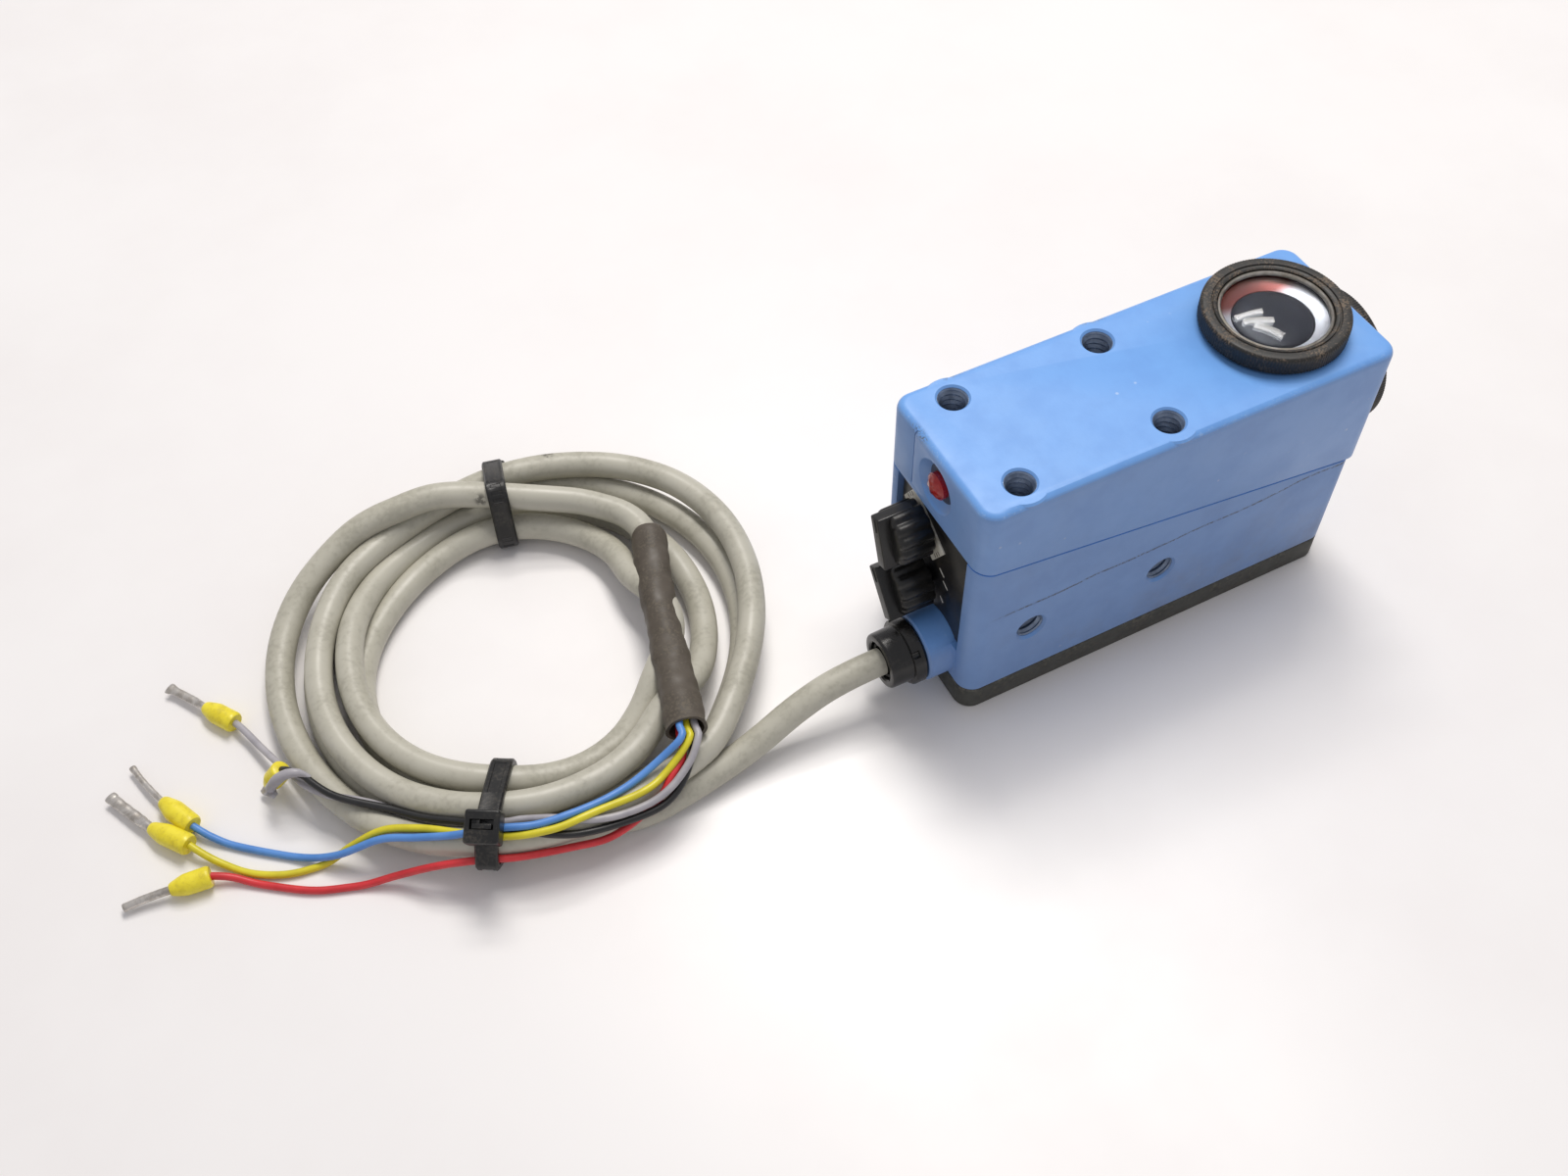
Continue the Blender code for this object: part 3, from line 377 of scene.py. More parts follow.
def within(tree: Tree, value: Value, low: float, high: float) -> Socket:
    """Return 0 at low, 1 at high and a smooth step between them; low may be the larger."""
    made = add(tree, "MapRange", {"Value": value}, interpolation_type="SMOOTHSTEP")
    flip = low > high
    made.inputs["From Min"].default_value = min(low, high)
    made.inputs["From Max"].default_value = max(low, high)
    made.inputs["To Min"].default_value = 1.0 if flip else 0.0
    made.inputs["To Max"].default_value = 0.0 if flip else 1.0
    return made.outputs["Result"]


@dataclass(frozen=True)
class Finish:
    """A surface with uneven colour, uneven gloss and a fine relief.

    grain is the relief's size in millimetres and relief its height; dust lies in soft patches,
    thickest on what faces up; stretch drags the pattern along X, Y or Z.
    """

    name: str
    colour: str
    second: str
    rough: float = 0.5
    spread: float = 0.12
    metal: float = 0.0
    grain: float = 0.5
    relief: float = 0.01
    patch: float = 6.0
    dust: float = 0.0
    dust_colour: str = "#9A9080"
    stretch: tuple = (1.0, 1.0, 1.0)
    coat: float = 0.0
    ior: float = 1.5

    def make(self) -> bpy.types.Material:
        """Return the finish's material, made once."""
        known = bpy.data.materials.get(self.name)
        if known:
            return known
        material = bpy.data.materials.new(self.name)
        material.use_nodes = True
        tree = material.node_tree
        shader = tree.nodes["Principled BSDF"]
        shader.inputs["Metallic"].default_value = self.metal
        shader.inputs["Coat Weight"].default_value = self.coat
        if not self.metal:
            shader.inputs["IOR"].default_value = self.ior
        place = add(tree, "TexCoord").outputs["Object"]
        place = add(tree, "Mapping", {"Vector": place, "Scale": self.stretch}).outputs["Vector"]
        patches = add(tree, "TexNoise", {"Vector": place, "Scale": 1000 / self.patch, "Detail": 5.0,
                                         "Roughness": 0.6}).outputs["Fac"]
        fine = add(tree, "TexNoise", {"Vector": place, "Scale": 1000 / self.grain, "Detail": 3.0}).outputs["Fac"]
        colour = blend(tree, within(tree, patches, 0.35, 0.7), linear(self.colour), linear(self.second))
        rough = add(tree, "MapRange", {"Value": patches, "From Min": 0.3, "From Max": 0.7,
                                       "To Min": self.rough - self.spread / 2,
                                       "To Max": self.rough + self.spread / 2}).outputs["Result"]
        colour, rough, extra = self.wear(tree, place, colour, rough)
        if self.dust:
            up = add(tree, "SeparateXYZ", {"Vector": add(tree, "NewGeometry").outputs["Normal"]}).outputs["Z"]
            fall = figure(tree, "MULTIPLY_ADD", within(tree, up, -0.2, 0.9), 0.7, 0.3)
            specks = within(tree, figure(tree, "MULTIPLY", fine, patches), 0.22, 0.42)
            lying = figure(tree, "MULTIPLY", figure(tree, "MULTIPLY", specks, fall), self.dust)
            colour = blend(tree, lying, colour, linear(self.dust_colour))
            rough = figure(tree, "MULTIPLY_ADD", lying, 0.3, rough)
        bump = add(tree, "Bump", {"Height": fine, "Distance": self.relief * MM, "Strength": 1.0})
        if extra:
            bump = add(tree, "Bump", {"Height": extra, "Distance": 0.03 * MM, "Strength": 1.0,
                                      "Normal": bump.outputs["Normal"]})
        tree.links.new(colour, shader.inputs["Base Color"])
        tree.links.new(rough, shader.inputs["Roughness"])
        tree.links.new(bump.outputs["Normal"], shader.inputs["Normal"])
        return material

    def wear(self, tree: Tree, place: Socket, colour: Value, rough: Value) -> tuple:
        """Return colour, roughness and an extra relief after wear; plain finishes have none."""
        return colour, rough, None


@dataclass(frozen=True)
class PowderCoat(Finish):
    """Blue polyester powder on die-cast metal: satin with orange peel, chipped and rubbed at its edges, with painted
    shade and a painted reflection veil greying its upright faces.

    x, y and z give the edges that wear, in millimetres; scratch draws the long rub on the near side.
    """

    half: float = HALF
    roof: float = ROOF
    rear: float = REAR
    front: float = FRONT
    scratch: bool = False

    def wear(self, tree: Tree, place: Socket, colour: Value, rough: Value) -> tuple:
        """Rub the arrises bright, chip them to dark metal, darken the paint towards the bottom, and grey the upright
        faces with painted shade and a painted reflection veil.

        Args:
            tree: the material's node tree.
            place: Object coordinates.
            colour: colour before wear.
            rough: roughness before wear.

        Returns:
            Colour, roughness and the height that chips take away.
        """
        axes = add(tree, "SeparateXYZ", {"Vector": add(tree, "TexCoord").outputs["Object"]}).outputs
        depth_y = figure(tree, "ABSOLUTE", axes["Y"])
        near_y = within(tree, depth_y, (self.half - 1.5) * MM, (self.half - 0.3) * MM)
        near_top = within(tree, axes["Z"], (self.roof - 1.5) * MM, (self.roof - 0.25) * MM)
        near_rear = within(tree, axes["X"], (self.rear + 1.6) * MM, (self.rear + 0.3) * MM)
        near_front = within(tree, axes["X"], (self.front - 1.6) * MM, (self.front - 0.3) * MM)
        long_edge = figure(tree, "MULTIPLY", near_y, near_top)
        rear_edge = figure(tree, "MULTIPLY", near_rear, near_top)
        front_edge = figure(tree, "MULTIPLY", near_front, near_top)
        post = figure(tree, "MULTIPLY", near_y, figure(tree, "MAXIMUM", near_rear, near_front))
        edges = figure(tree, "MAXIMUM", figure(tree, "MAXIMUM", long_edge, rear_edge),
                       figure(tree, "MAXIMUM", front_edge, figure(tree, "MULTIPLY", post, 0.8)))
        flake = add(tree, "TexNoise", {"Vector": place, "Scale": 2600.0, "Detail": 6.0, "Roughness": 0.75})
        where = add(tree, "TexNoise", {"Vector": place, "Scale": 90.0, "Detail": 3.0})
        rubbed = figure(tree, "MULTIPLY", edges, within(tree, flake.outputs["Fac"], 0.52, 0.64))
        rubbed = figure(tree, "MULTIPLY", rubbed, within(tree, where.outputs["Fac"], 0.40, 0.62))
        colour = blend(tree, figure(tree, "MULTIPLY", rubbed, 0.45), colour, linear("#C6DCF4"))
        patchy = within(tree, where.outputs["Fac"], 0.60, 0.70)
        chipped = figure(tree, "MULTIPLY", figure(tree, "MULTIPLY", edges, patchy),
                         within(tree, flake.outputs["Fac"], 0.50, 0.56))
        spots = add(tree, "TexVoronoi", {"Vector": place, "Scale": 260.0, "Randomness": 1.0})
        pale = figure(tree, "MULTIPLY", within(tree, spots.outputs["Distance"], 0.10, 0.04),
                      within(tree, where.outputs["Fac"], 0.48, 0.62))
        colour = blend(tree, figure(tree, "MULTIPLY", pale, 0.35), colour, linear("#E3EAF2"))
        film = add(tree, "TexNoise", {"Vector": place, "Scale": 35.0, "Detail": 6.0, "Roughness": 0.7})
        # A darker, greyer film that thickens towards the bottom.
        low = within(tree, axes["Z"], 0.028, 0.004)
        bottom_film = figure(tree, "MULTIPLY", within(tree, film.outputs["Fac"], 0.46, 0.78),
                       figure(tree, "MULTIPLY_ADD", low, 0.30, 0.07))
        colour = blend(tree, bottom_film, colour, linear("#6E6A62"))
        # Painted shade and painted reflection: upright faces are darkened and greyed, standing for the sides' weaker
        # light and the pale table mirrored on them.
        facing_up = add(tree, "SeparateXYZ", {"Vector": add(tree, "NewGeometry").outputs["True Normal"]}).outputs["Z"]
        upright = within(tree, figure(tree, "ABSOLUTE", facing_up), 0.85, 0.35)
        side_veil_amount = figure(tree, "MULTIPLY_ADD", film.outputs["Fac"], 0.12, 0.24)
        colour = blend(tree, figure(tree, "MULTIPLY", upright, side_veil_amount), colour, linear("#857C78"))
        marks = chipped
        if self.scratch:
            marks = figure(tree, "MAXIMUM", chipped, self.rub(tree, axes, flake.outputs["Fac"]))
        colour = blend(tree, figure(tree, "MULTIPLY", marks, 0.85), colour, linear("#4A4640"))
        rough = figure(tree, "MULTIPLY_ADD", figure(tree, "MAXIMUM", marks, rubbed), 0.12, rough)
        return colour, rough, figure(tree, "SUBTRACT", 1.0, marks)

    def rub(self, tree: Tree, axes: bpy.types.bpy_prop_collection, flake: Socket) -> Socket:
        """Return a thin broken rub that climbs the near side from low at the cable end to the seam.

        Args:
            tree: the material's node tree.
            axes: X, Y and Z of the Object coordinates.
            flake: fine noise that breaks the line.

        Returns:
            How strong the rub is at each place.
        """
        rise = figure(tree, "MULTIPLY_ADD", axes["X"], 0.022, 0.0262)
        wander = add(tree, "TexNoise", {"Vector": add(tree, "TexCoord").outputs["Object"], "Scale": 55.0,
                                        "Detail": 4.0}).outputs["Fac"]
        line = figure(tree, "MULTIPLY_ADD", figure(tree, "SUBTRACT", wander, 0.5), 0.0030, rise)
        gap = figure(tree, "ABSOLUTE", figure(tree, "SUBTRACT", axes["Z"], line))
        thin = within(tree, gap, 0.00034, 0.00008)
        side = within(tree, axes["Y"], -0.0149, -0.0151)
        span = figure(tree, "MULTIPLY", within(tree, axes["X"], -0.034, -0.026), side)
        return figure(tree, "MULTIPLY", figure(tree, "MULTIPLY", thin, span), within(tree, flake, 0.40, 0.55))


@dataclass(frozen=True)
class ScuffedSheath(Finish):
    """Extruded PVC that has been dragged about: small dark scuffs and a few longer smears."""

    def wear(self, tree: Tree, place: Socket, colour: Value, rough: Value) -> tuple:
        """Add scuffs where two coarse noises agree.

        Args:
            tree: the material's node tree.
            place: Object coordinates.
            colour: colour before wear.
            rough: roughness before wear.

        Returns:
            Colour, roughness and no extra relief.
        """
        cells = add(tree, "TexVoronoi", {"Vector": place, "Scale": 95.0, "Randomness": 1.0}).outputs["Distance"]
        where = add(tree, "TexNoise", {"Vector": place, "Scale": 28.0, "Detail": 4.0}).outputs["Fac"]
        speck = add(tree, "TexNoise", {"Vector": place, "Scale": 900.0, "Detail": 5.0, "Roughness": 0.7}).outputs["Fac"]
        scuff = figure(tree, "MULTIPLY", within(tree, cells, 0.16, 0.05), within(tree, where, 0.55, 0.66))
        scuff = figure(tree, "MULTIPLY", scuff, within(tree, speck, 0.42, 0.58))
        smear = figure(tree, "MULTIPLY", within(tree, where, 0.40, 0.30), within(tree, speck, 0.50, 0.70))
        colour = blend(tree, figure(tree, "MULTIPLY", smear, 0.4), colour, linear("#8A8778"))
        colour = blend(tree, figure(tree, "MULTIPLY", scuff, 0.8), colour, linear("#3F3D36"))
        return colour, figure(tree, "MULTIPLY_ADD", scuff, 0.2, rough), None


@dataclass(frozen=True)
class RedReflectionBarrel(Finish):
    """Polished aluminium whose far half carries a painted reflection: a coppery red band that stands for what the
    barrel mirrors there.
    """

    def wear(self, tree: Tree, place: Socket, colour: Value, rough: Value) -> tuple:
        """Paint the coppery red reflection on what lies beyond the lens's middle along Y."""
        y = add(tree, "SeparateXYZ", {"Vector": add(tree, "TexCoord").outputs["Object"]}).outputs["Y"]
        # painted reflection: the barrel's far side is tinted red-brown by its place along Y
        return blend(tree, within(tree, y, 0.0030, 0.0060), colour, linear("#A04C3C")), rough, None


@dataclass(frozen=True)
class ClearGlass:
    """Polished and coated crown glass: clear, mirrors little of the lamps, with a hair of dust on its dome."""

    name: str = "crown_glass"
    tint: str = "#EEF3FA"

    def make(self) -> bpy.types.Material:
        """Return the glass's material, made once."""
        known = bpy.data.materials.get(self.name)
        if known:
            return known
        material = bpy.data.materials.new(self.name)
        material.use_nodes = True
        tree = material.node_tree
        shader = tree.nodes["Principled BSDF"]
        shader.inputs["Transmission Weight"].default_value = 1.0
        shader.inputs["IOR"].default_value = 1.35
        shader.inputs["Base Color"].default_value = linear(self.tint)
        place = add(tree, "TexCoord").outputs["Object"]
        haze = add(tree, "TexNoise", {"Vector": place, "Scale": 420.0, "Detail": 6.0}).outputs["Fac"]
        rough = add(tree, "MapRange", {"Value": haze, "From Min": 0.5, "From Max": 0.8, "To Min": 0.01,
                                       "To Max": 0.10}).outputs["Result"]
        tree.links.new(rough, shader.inputs["Roughness"])
        return material


class Finishes(Enum):
    """Every finish on the sensor, named for what it is and how it was made."""

    UPPER_PAINT = PowderCoat("blue_powder_coat_upper", "#70A6E8", "#6A9FE2", 0.42, 0.10, grain=0.55, relief=0.012)
    LOWER_PAINT = PowderCoat("blue_powder_coat_lower", "#6C9FE0", "#6698D9", 0.42, 0.10, grain=0.55, relief=0.012,
                             roof=90.0, front=42.6, scratch=True)
    # painted shade: the hole linings are darkened and blued to stand for the shade inside the holes; the dark specks
    # are grime
    THREAD = Finish("shade_darkened_tapped_metal", "#8796AC", "#6E7C92", 0.30, 0.1, metal=0.5, grain=0.3, patch=2.0,
                    dust=0.2, dust_colour="#35322D")
    CAST_COVER = Finish("dull_die_cast_cover", "#45453F", "#383834", 0.62, 0.14, grain=0.7, relief=0.02, patch=4.0,
                        dust=0.5, dust_colour="#8C8676")
    ANODISED = Finish("black_anodised_turned_aluminium", "#232220", "#191817", 0.50, 0.14, grain=0.35, relief=0.012,
                      patch=3.0, dust=0.75, dust_colour="#80705F")
    # the barrel's far half carries a painted red-brown reflection
    POLISHED = RedReflectionBarrel("polished_aluminium_barrel", "#FBF9F8", "#F1ECEA", 0.34, 0.06, metal=0.55, grain=2.0,
                            relief=0.002)
    PALE_RIM = Finish("clear_anodised_aluminium_rim", "#C9C4BA", "#A69E90", 0.34, 0.1, metal=1.0, grain=0.4,
                      relief=0.004, patch=2.0, dust=0.3)
    GLASS = ClearGlass()
    WELL = Finish("dark_coated_lens_well", "#12131F", "#1B1C2C", 0.42, 0.08, grain=2.0, relief=0.002)
    MOULDED_BLACK = Finish("moulded_black_abs", "#171716", "#101010", 0.34, 0.12, grain=0.4, relief=0.006, patch=3.0,
                           dust=0.12, dust_colour="#5A544A")
    GLAND_BLACK = Finish("moulded_black_polyamide", "#151514", "#1E1D1C", 0.24, 0.12, grain=0.6, relief=0.004,
                         patch=5.0, dust=0.05, dust_colour="#8F877A")
    RUBBER = Finish("moulded_nitrile_rubber", "#191918", "#222120", 0.75, 0.1, grain=0.3)
    STEEL = Finish("zinc_plated_steel", "#B9B9B4", "#9C9B95", 0.32, 0.14, metal=1.0, grain=0.4)
    LAMINATE = Finish("green_glass_epoxy_laminate", "#2C6E3C", "#245F33", 0.40, 0.08, grain=0.5, patch=8.0)
    LABEL = Finish("printed_black_polyester_film", "#161618", "#1D1C1B", 0.34, 0.12, grain=0.4, relief=0.004,
                   patch=4.0, dust=0.45, dust_colour="#776A55")
    DIAL = Finish("printed_white_polyester_film", "#D2D0C6", "#B9B4A4", 0.42, 0.12, grain=0.4, relief=0.004,
                  patch=3.0, dust=0.4, dust_colour="#6D6351")
    INK = Finish("white_screen_ink", "#DEDDD6", "#C9C6BC", 0.5, 0.1, grain=0.2, patch=1.5)
    DARK_INK = Finish("black_screen_ink", "#26262A", "#33333A", 0.5, 0.1, grain=0.2, patch=1.5)
    LAMP = Finish("moulded_red_acrylic", "#AE080E", "#7E0408", 0.20, 0.05, grain=1.5, relief=0.004, coat=0.2)
    # painted shade: the recess ring is the blue paint darkened to blue-grey; its specks are dust
    SHADED_SEAT = Finish("shade_darkened_lamp_recess", "#3D4B66", "#2C3445", 0.6, 0.1, grain=0.5, dust=0.4)
    SHEATH = ScuffedSheath("extruded_grey_pvc_sheath", "#BDBAAC", "#B2AFA0", 0.40, 0.14, grain=0.9, relief=0.010,
                    patch=9.0, dust=0.22, dust_colour="#6F6A5C")
    SLEEVE = Finish("shrunk_polyolefin_sleeve", "#544C42", "#463F36", 0.52, 0.16, grain=0.5, relief=0.02,
                    patch=4.0, dust=0.4, dust_colour="#7B7262")
    TIE = Finish("moulded_black_nylon", "#141414", "#1C1C1B", 0.33, 0.12, grain=0.5, relief=0.005, dust=0.12)
    COLLAR = Finish("moulded_yellow_polypropylene", "#F0E03A", "#E2CF27", 0.36, 0.10, grain=0.5, relief=0.006,
                    patch=2.5, dust=0.2, dust_colour="#8C7C40")
    TINNED = Finish("crimped_tinned_copper", "#D6D1CA", "#AFA89F", 0.34, 0.16, metal=0.85, grain=0.4, relief=0.02,
                    patch=1.5, dust=0.15, dust_colour="#4D463C")
    WIRE_GREY = Finish("grey_core_pvc", "#B0ADB1", "#9D9AA0", 0.38, 0.1, grain=0.5, patch=4.0)
    WIRE_BLACK = Finish("black_core_pvc", "#1B1B1C", "#262627", 0.38, 0.1, grain=0.5, patch=4.0)
    WIRE_BLUE = Finish("blue_core_pvc", "#5C92D8", "#4E85CC", 0.38, 0.1, grain=0.5, patch=4.0)
    WIRE_YELLOW = Finish("yellow_core_pvc", "#DED22F", "#CDC024", 0.38, 0.1, grain=0.5, patch=4.0)
    WIRE_RED = Finish("red_core_pvc", "#D8363C", "#C62A31", 0.38, 0.1, grain=0.5, patch=4.0)


@dataclass
class Part:
    """Something that makes pieces and hands them to a body of the frame."""

    def keep(self, obj: bpy.types.Object, finish: Finishes, slot: str, body: str = HOUSING,
             stands_for: tuple = ()) -> bpy.types.Object:
        """Dress a finished piece, let it ride on its body and hide the CAD nodes that it stands for.

        Args:
            obj: the piece.
            finish: its finish.
            slot: the record's material slot; not used.
            body: the body that it rides on.
            stands_for: CAD nodes that it replaces.

        Returns:
            The piece.
        """
        obj.data.materials.clear()
        obj.data.materials.append(finish.value.make())
        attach(obj, body)
        if stands_for:
            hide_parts(*stands_for)
        LOG.info("%s: %d faces, %s", obj.name, len(obj.data.polygons), finish.name)
        return obj

    def retained(self, finish: Finishes, *nodes: str) -> None:
        """Give CAD nodes whose shape is right their finish."""
        for node in nodes:
            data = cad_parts[node].data
            data.materials.clear()
            data.materials.append(finish.value.make())
            LOG.info("%s: CAD shape, %s", node, finish.name)


@dataclass
class Housing(Part):
    """Both die-cast shells, the base cover and what is cut into them."""

    rear: float = REAR
    front: float = FRONT
    half: float = HALF
    roof: float = ROOF
    pad_top: float = 53.0
    corner: float = 3.2
    cover: float = 5.3
    seam_rear: float = 38.8
    seam_front: float = 27.0
    lens_x: float = 28.6
    port_z: float = 37.8
    hole_x: tuple = (-27.3, 0.6)
    hole_y: float = 10.2
    side_x: tuple = (-24.0, 2.8)
    side_z: float = 18.2
    cable: tuple = CABLE_SPOT
    seam_gap: float = 0.18
    rear_wall: float = 3.4
    side_wall: float = 2.6
    port: float = 10.2
    shorter: float = 1.2
    pitch: float = 1.1

    def build(self) -> None:
        """Build the shells and the cover."""
        self.upper()
        self.lower()
        self.base()
        self.retained(Finishes.STEEL, "base_screw_1", "base_screw_2", "base_screw_3", "base_screw_4")
        self.retained(Finishes.RUBBER, "base_gasket")

    def seam_side(self, above: bool) -> Surface:
        """Return the space above or below the slanted seam, clear of it by the seam's gap.

        Args:
            above: whether the space above is wanted.

        Returns:
            A closed wedge.
        """
        slope = (self.seam_front - self.seam_rear) / (self.front - self.rear)
        clear = -self.seam_gap if above else self.seam_gap
        low, high = self.rear - 20, self.front + 20
        far = 90 if above else -20
        a = self.seam_rear - 20 * slope + clear
        b = self.seam_front + 20 * slope + clear
        outline = [(low, a), (high, b), (high, far), (low, far)]
        rings = np.array([[(x, side * 40, z) for x, z in outline] for side in (1, -1)], float)
        surface = skin(rings)
        return surface if above else Surface(surface.points, [face[::-1] for face in surface.faces])

    def thread(self, mouth: tuple, outward: tuple, deep: float = 6.5) -> tuple:
        """Return a countersunk hole to cut and its threaded lining.

        The lining's radius rises and falls once for each turn. The turns are drawn further apart than M5
        has them, so that they show.

        Args:
            mouth: the middle of the hole's mouth.
            outward: the direction out of the hole.
            deep: the hole's depth.

        Returns:
            The surface to cut and the lining.
        """
        hole = turned([(0.0, -deep), (2.62, -deep), (2.62, -0.45), (3.25, 0.2), (3.25, 0.6), (0.0, 0.6)],
                      mouth, outward, 48)
        turns = np.arange(-deep + 0.3, -0.7, 0.11)
        ridge = 2.16 + 0.5 * np.abs(((turns / self.pitch) % 1.0) * 2 - 1)
        inner = [(r, h) for r, h in zip(ridge, turns)]
        lining = turned([(0.0, -deep + 0.1), (2.75, -deep + 0.1), (2.75, -0.55), (2.58, -0.55)] + inner[::-1]
                        + [(0.0, -deep + 0.35)], mouth, outward, 48)
        return hole, lining

    def upper(self) -> None:
        """Build the wedge-shaped upper shell: rounded block, four round pads, ports and the lamp's seat."""
        quarter = np.linspace(0, math.pi / 2, 7)
        levels = [(10, 0)] + [(self.roof - 1.5 * (1 - math.sin(t)), 1.5 * (1 - math.cos(t))) for t in quarter]
        shell = mesh_object("upper_shell", block(self.rear, self.front, self.half, self.corner, levels))
        pads = [turned([(0, -9), (4.9, -9), (4.9, -0.35), (4.55, 0), (0, 0)], (x, side * self.hole_y, self.roof - 0.01),
                       (0, 0, 1), 64) for x in self.hole_x for side in (-1, 1)]
        trim = block(self.rear - 1, self.front + 1, self.half, 1.0, [(-5, 0), (90, 0)])
        for pad in pads:
            carve(shell, [pad], "UNION")
        carve(shell, [trim], "INTERSECT")
        cavity = block(self.rear + self.rear_wall, self.front - self.side_wall, self.half - self.side_wall,
                       1.6, [(5, 0), (self.roof - 4, 0)])
        lens_port = plug(self.port, -8, 4, (self.lens_x, 0, self.roof), (0, 0, 1), 96)
        end_port = plug(self.port, -5, 4, (self.front, 0, self.port_z), (1, 0, 0), 96)
        seat = turned([(0, -5), (3.5, -5), (3.5, -1.5), (4.7, -0.45), (5.0, 0), (5.0, 1), (0, 1)],
                      (self.rear, 0, LAMP_HEIGHT), (-1, 0, 0), 64)
        joint = rounded_box((1.2, 0.11, 6.2), 0.05, Matrix.Translation((self.rear - 0.7, 6.9, 46.4)), 3)
        carve(shell, [cavity, lens_port, end_port, seat, joint, self.seam_side(False)])
        ease_edges(shell, 0.22, 2, 50)
        holes, linings = zip(*[self.thread((x, side * self.hole_y, self.pad_top), (0, 0, 1))
                               for x in self.hole_x for side in (-1, 1)])
        carve(shell, list(holes))
        self.keep(shell, Finishes.UPPER_PAINT, "blue_paint", stands_for=("upper_housing",))
        for index, lining in enumerate(linings):
            self.keep(mesh_object(f"top_thread_{index + 1}", lining, 20), Finishes.THREAD, "blue_paint")

    def lower(self) -> None:
        """Build the lower shell: block, label recess, cable boss and side holes."""
        end = self.front - self.shorter
        bottom = self.cover + 0.15
        shell = mesh_object("lower_shell", block(self.rear, end, self.half, self.corner,
                                                 [(bottom, 0.25), (bottom + 0.25, 0), (53, 0)]))
        recess = rounded_box((1.8, 11.2, 20.0), 0.6, Matrix.Translation((self.rear - 0.2, 0, 34.0)), 5)
        cavity = block(self.rear + self.rear_wall, end - self.side_wall, self.half - self.side_wall,
                       1.6, [(0, 0), (60, 0)])
        carve(shell, [recess, cavity])
        y, z = self.cable
        boss = turned([(0, -2.2), (6.3, -2.2), (6.3, 4.25), (5.9, 4.6), (0, 4.6)], (self.rear, y, z), (-1, 0, 0), 72)
        carve(shell, [boss], "UNION")
        bore = plug(4.0, -5, 9, (self.rear, y, z), (-1, 0, 0), 48)
        knob_holes = [plug(1.8, -5, 5, (self.rear, *place), (-1, 0, 0), 24)
                      for place in (DIAL_SPOT, SELECTOR_SPOT)]
        carve(shell, [bore, *knob_holes, self.seam_side(True)])
        ease_edges(shell, 0.22, 2, 50)
        bosses = [plug(4.2, -8, -1, (x, side * self.half, self.side_z), (0, side, 0), 32)
                  for x in self.side_x for side in (-1, 1)]
        for lug in bosses:
            carve(shell, [lug], "UNION")
        holes, linings = zip(*[self.thread((x, side * self.half, self.side_z), (0, side, 0))
                               for x in self.side_x for side in (-1, 1)])
        carve(shell, list(holes))
        self.keep(shell, Finishes.LOWER_PAINT, "blue_paint", stands_for=("lower_housing",))
        for index, lining in enumerate(linings):
            self.keep(mesh_object(f"side_thread_{index + 1}", lining, 20), Finishes.THREAD, "blue_paint")

    def base(self) -> None:
        """Build the dark cover with its scallop round the boss and its screw seats."""
        end = self.front - self.shorter
        cover = mesh_object("cast_cover", block(self.rear, end, self.half, self.corner,
                                                [(0, 0.3), (0.3, 0), (self.cover - 0.2, 0), (self.cover, 0.2)]))
        y, z = self.cable
        scallop = plug(6.6, -2.5, 6, (self.rear, y, z), (-1, 0, 0), 64)
        hollow = block(self.rear + 12, self.front - 13, self.half - 4.5, 2, [(2.4, 0), (9, 0)])
        seats = [turned([(0, -1), (2.9, -1), (2.9, 0.3), (1.5, 1.9), (1.5, 9), (0, 9)],
                        (x, side * (self.half - 4.6), 0), (0, 0, 1), 32)
                 for x in (self.rear + 7.2, end - 7.2) for side in (-1, 1)]
        carve(cover, [scallop, hollow, *seats])
        ease_edges(cover, 0.12, 2, 50)
        self.keep(cover, Finishes.CAST_COVER, "dark_cast_cover", stands_for=("base_cover",))


def knurl(count: int, depth: float, inner: float) -> Callable:
    """Return a grip: a triangle wave of count teeth round the rim, only where the radius exceeds inner."""
    def grip(radius: np.ndarray, height: np.ndarray, angle: np.ndarray) -> np.ndarray:
        """Return the change of radius at each height and angle."""
        wave = np.abs(((angle * count / (2 * math.pi)) % 1.0) * 2 - 1) - 1
        return depth * wave * (radius > inner)
    return grip


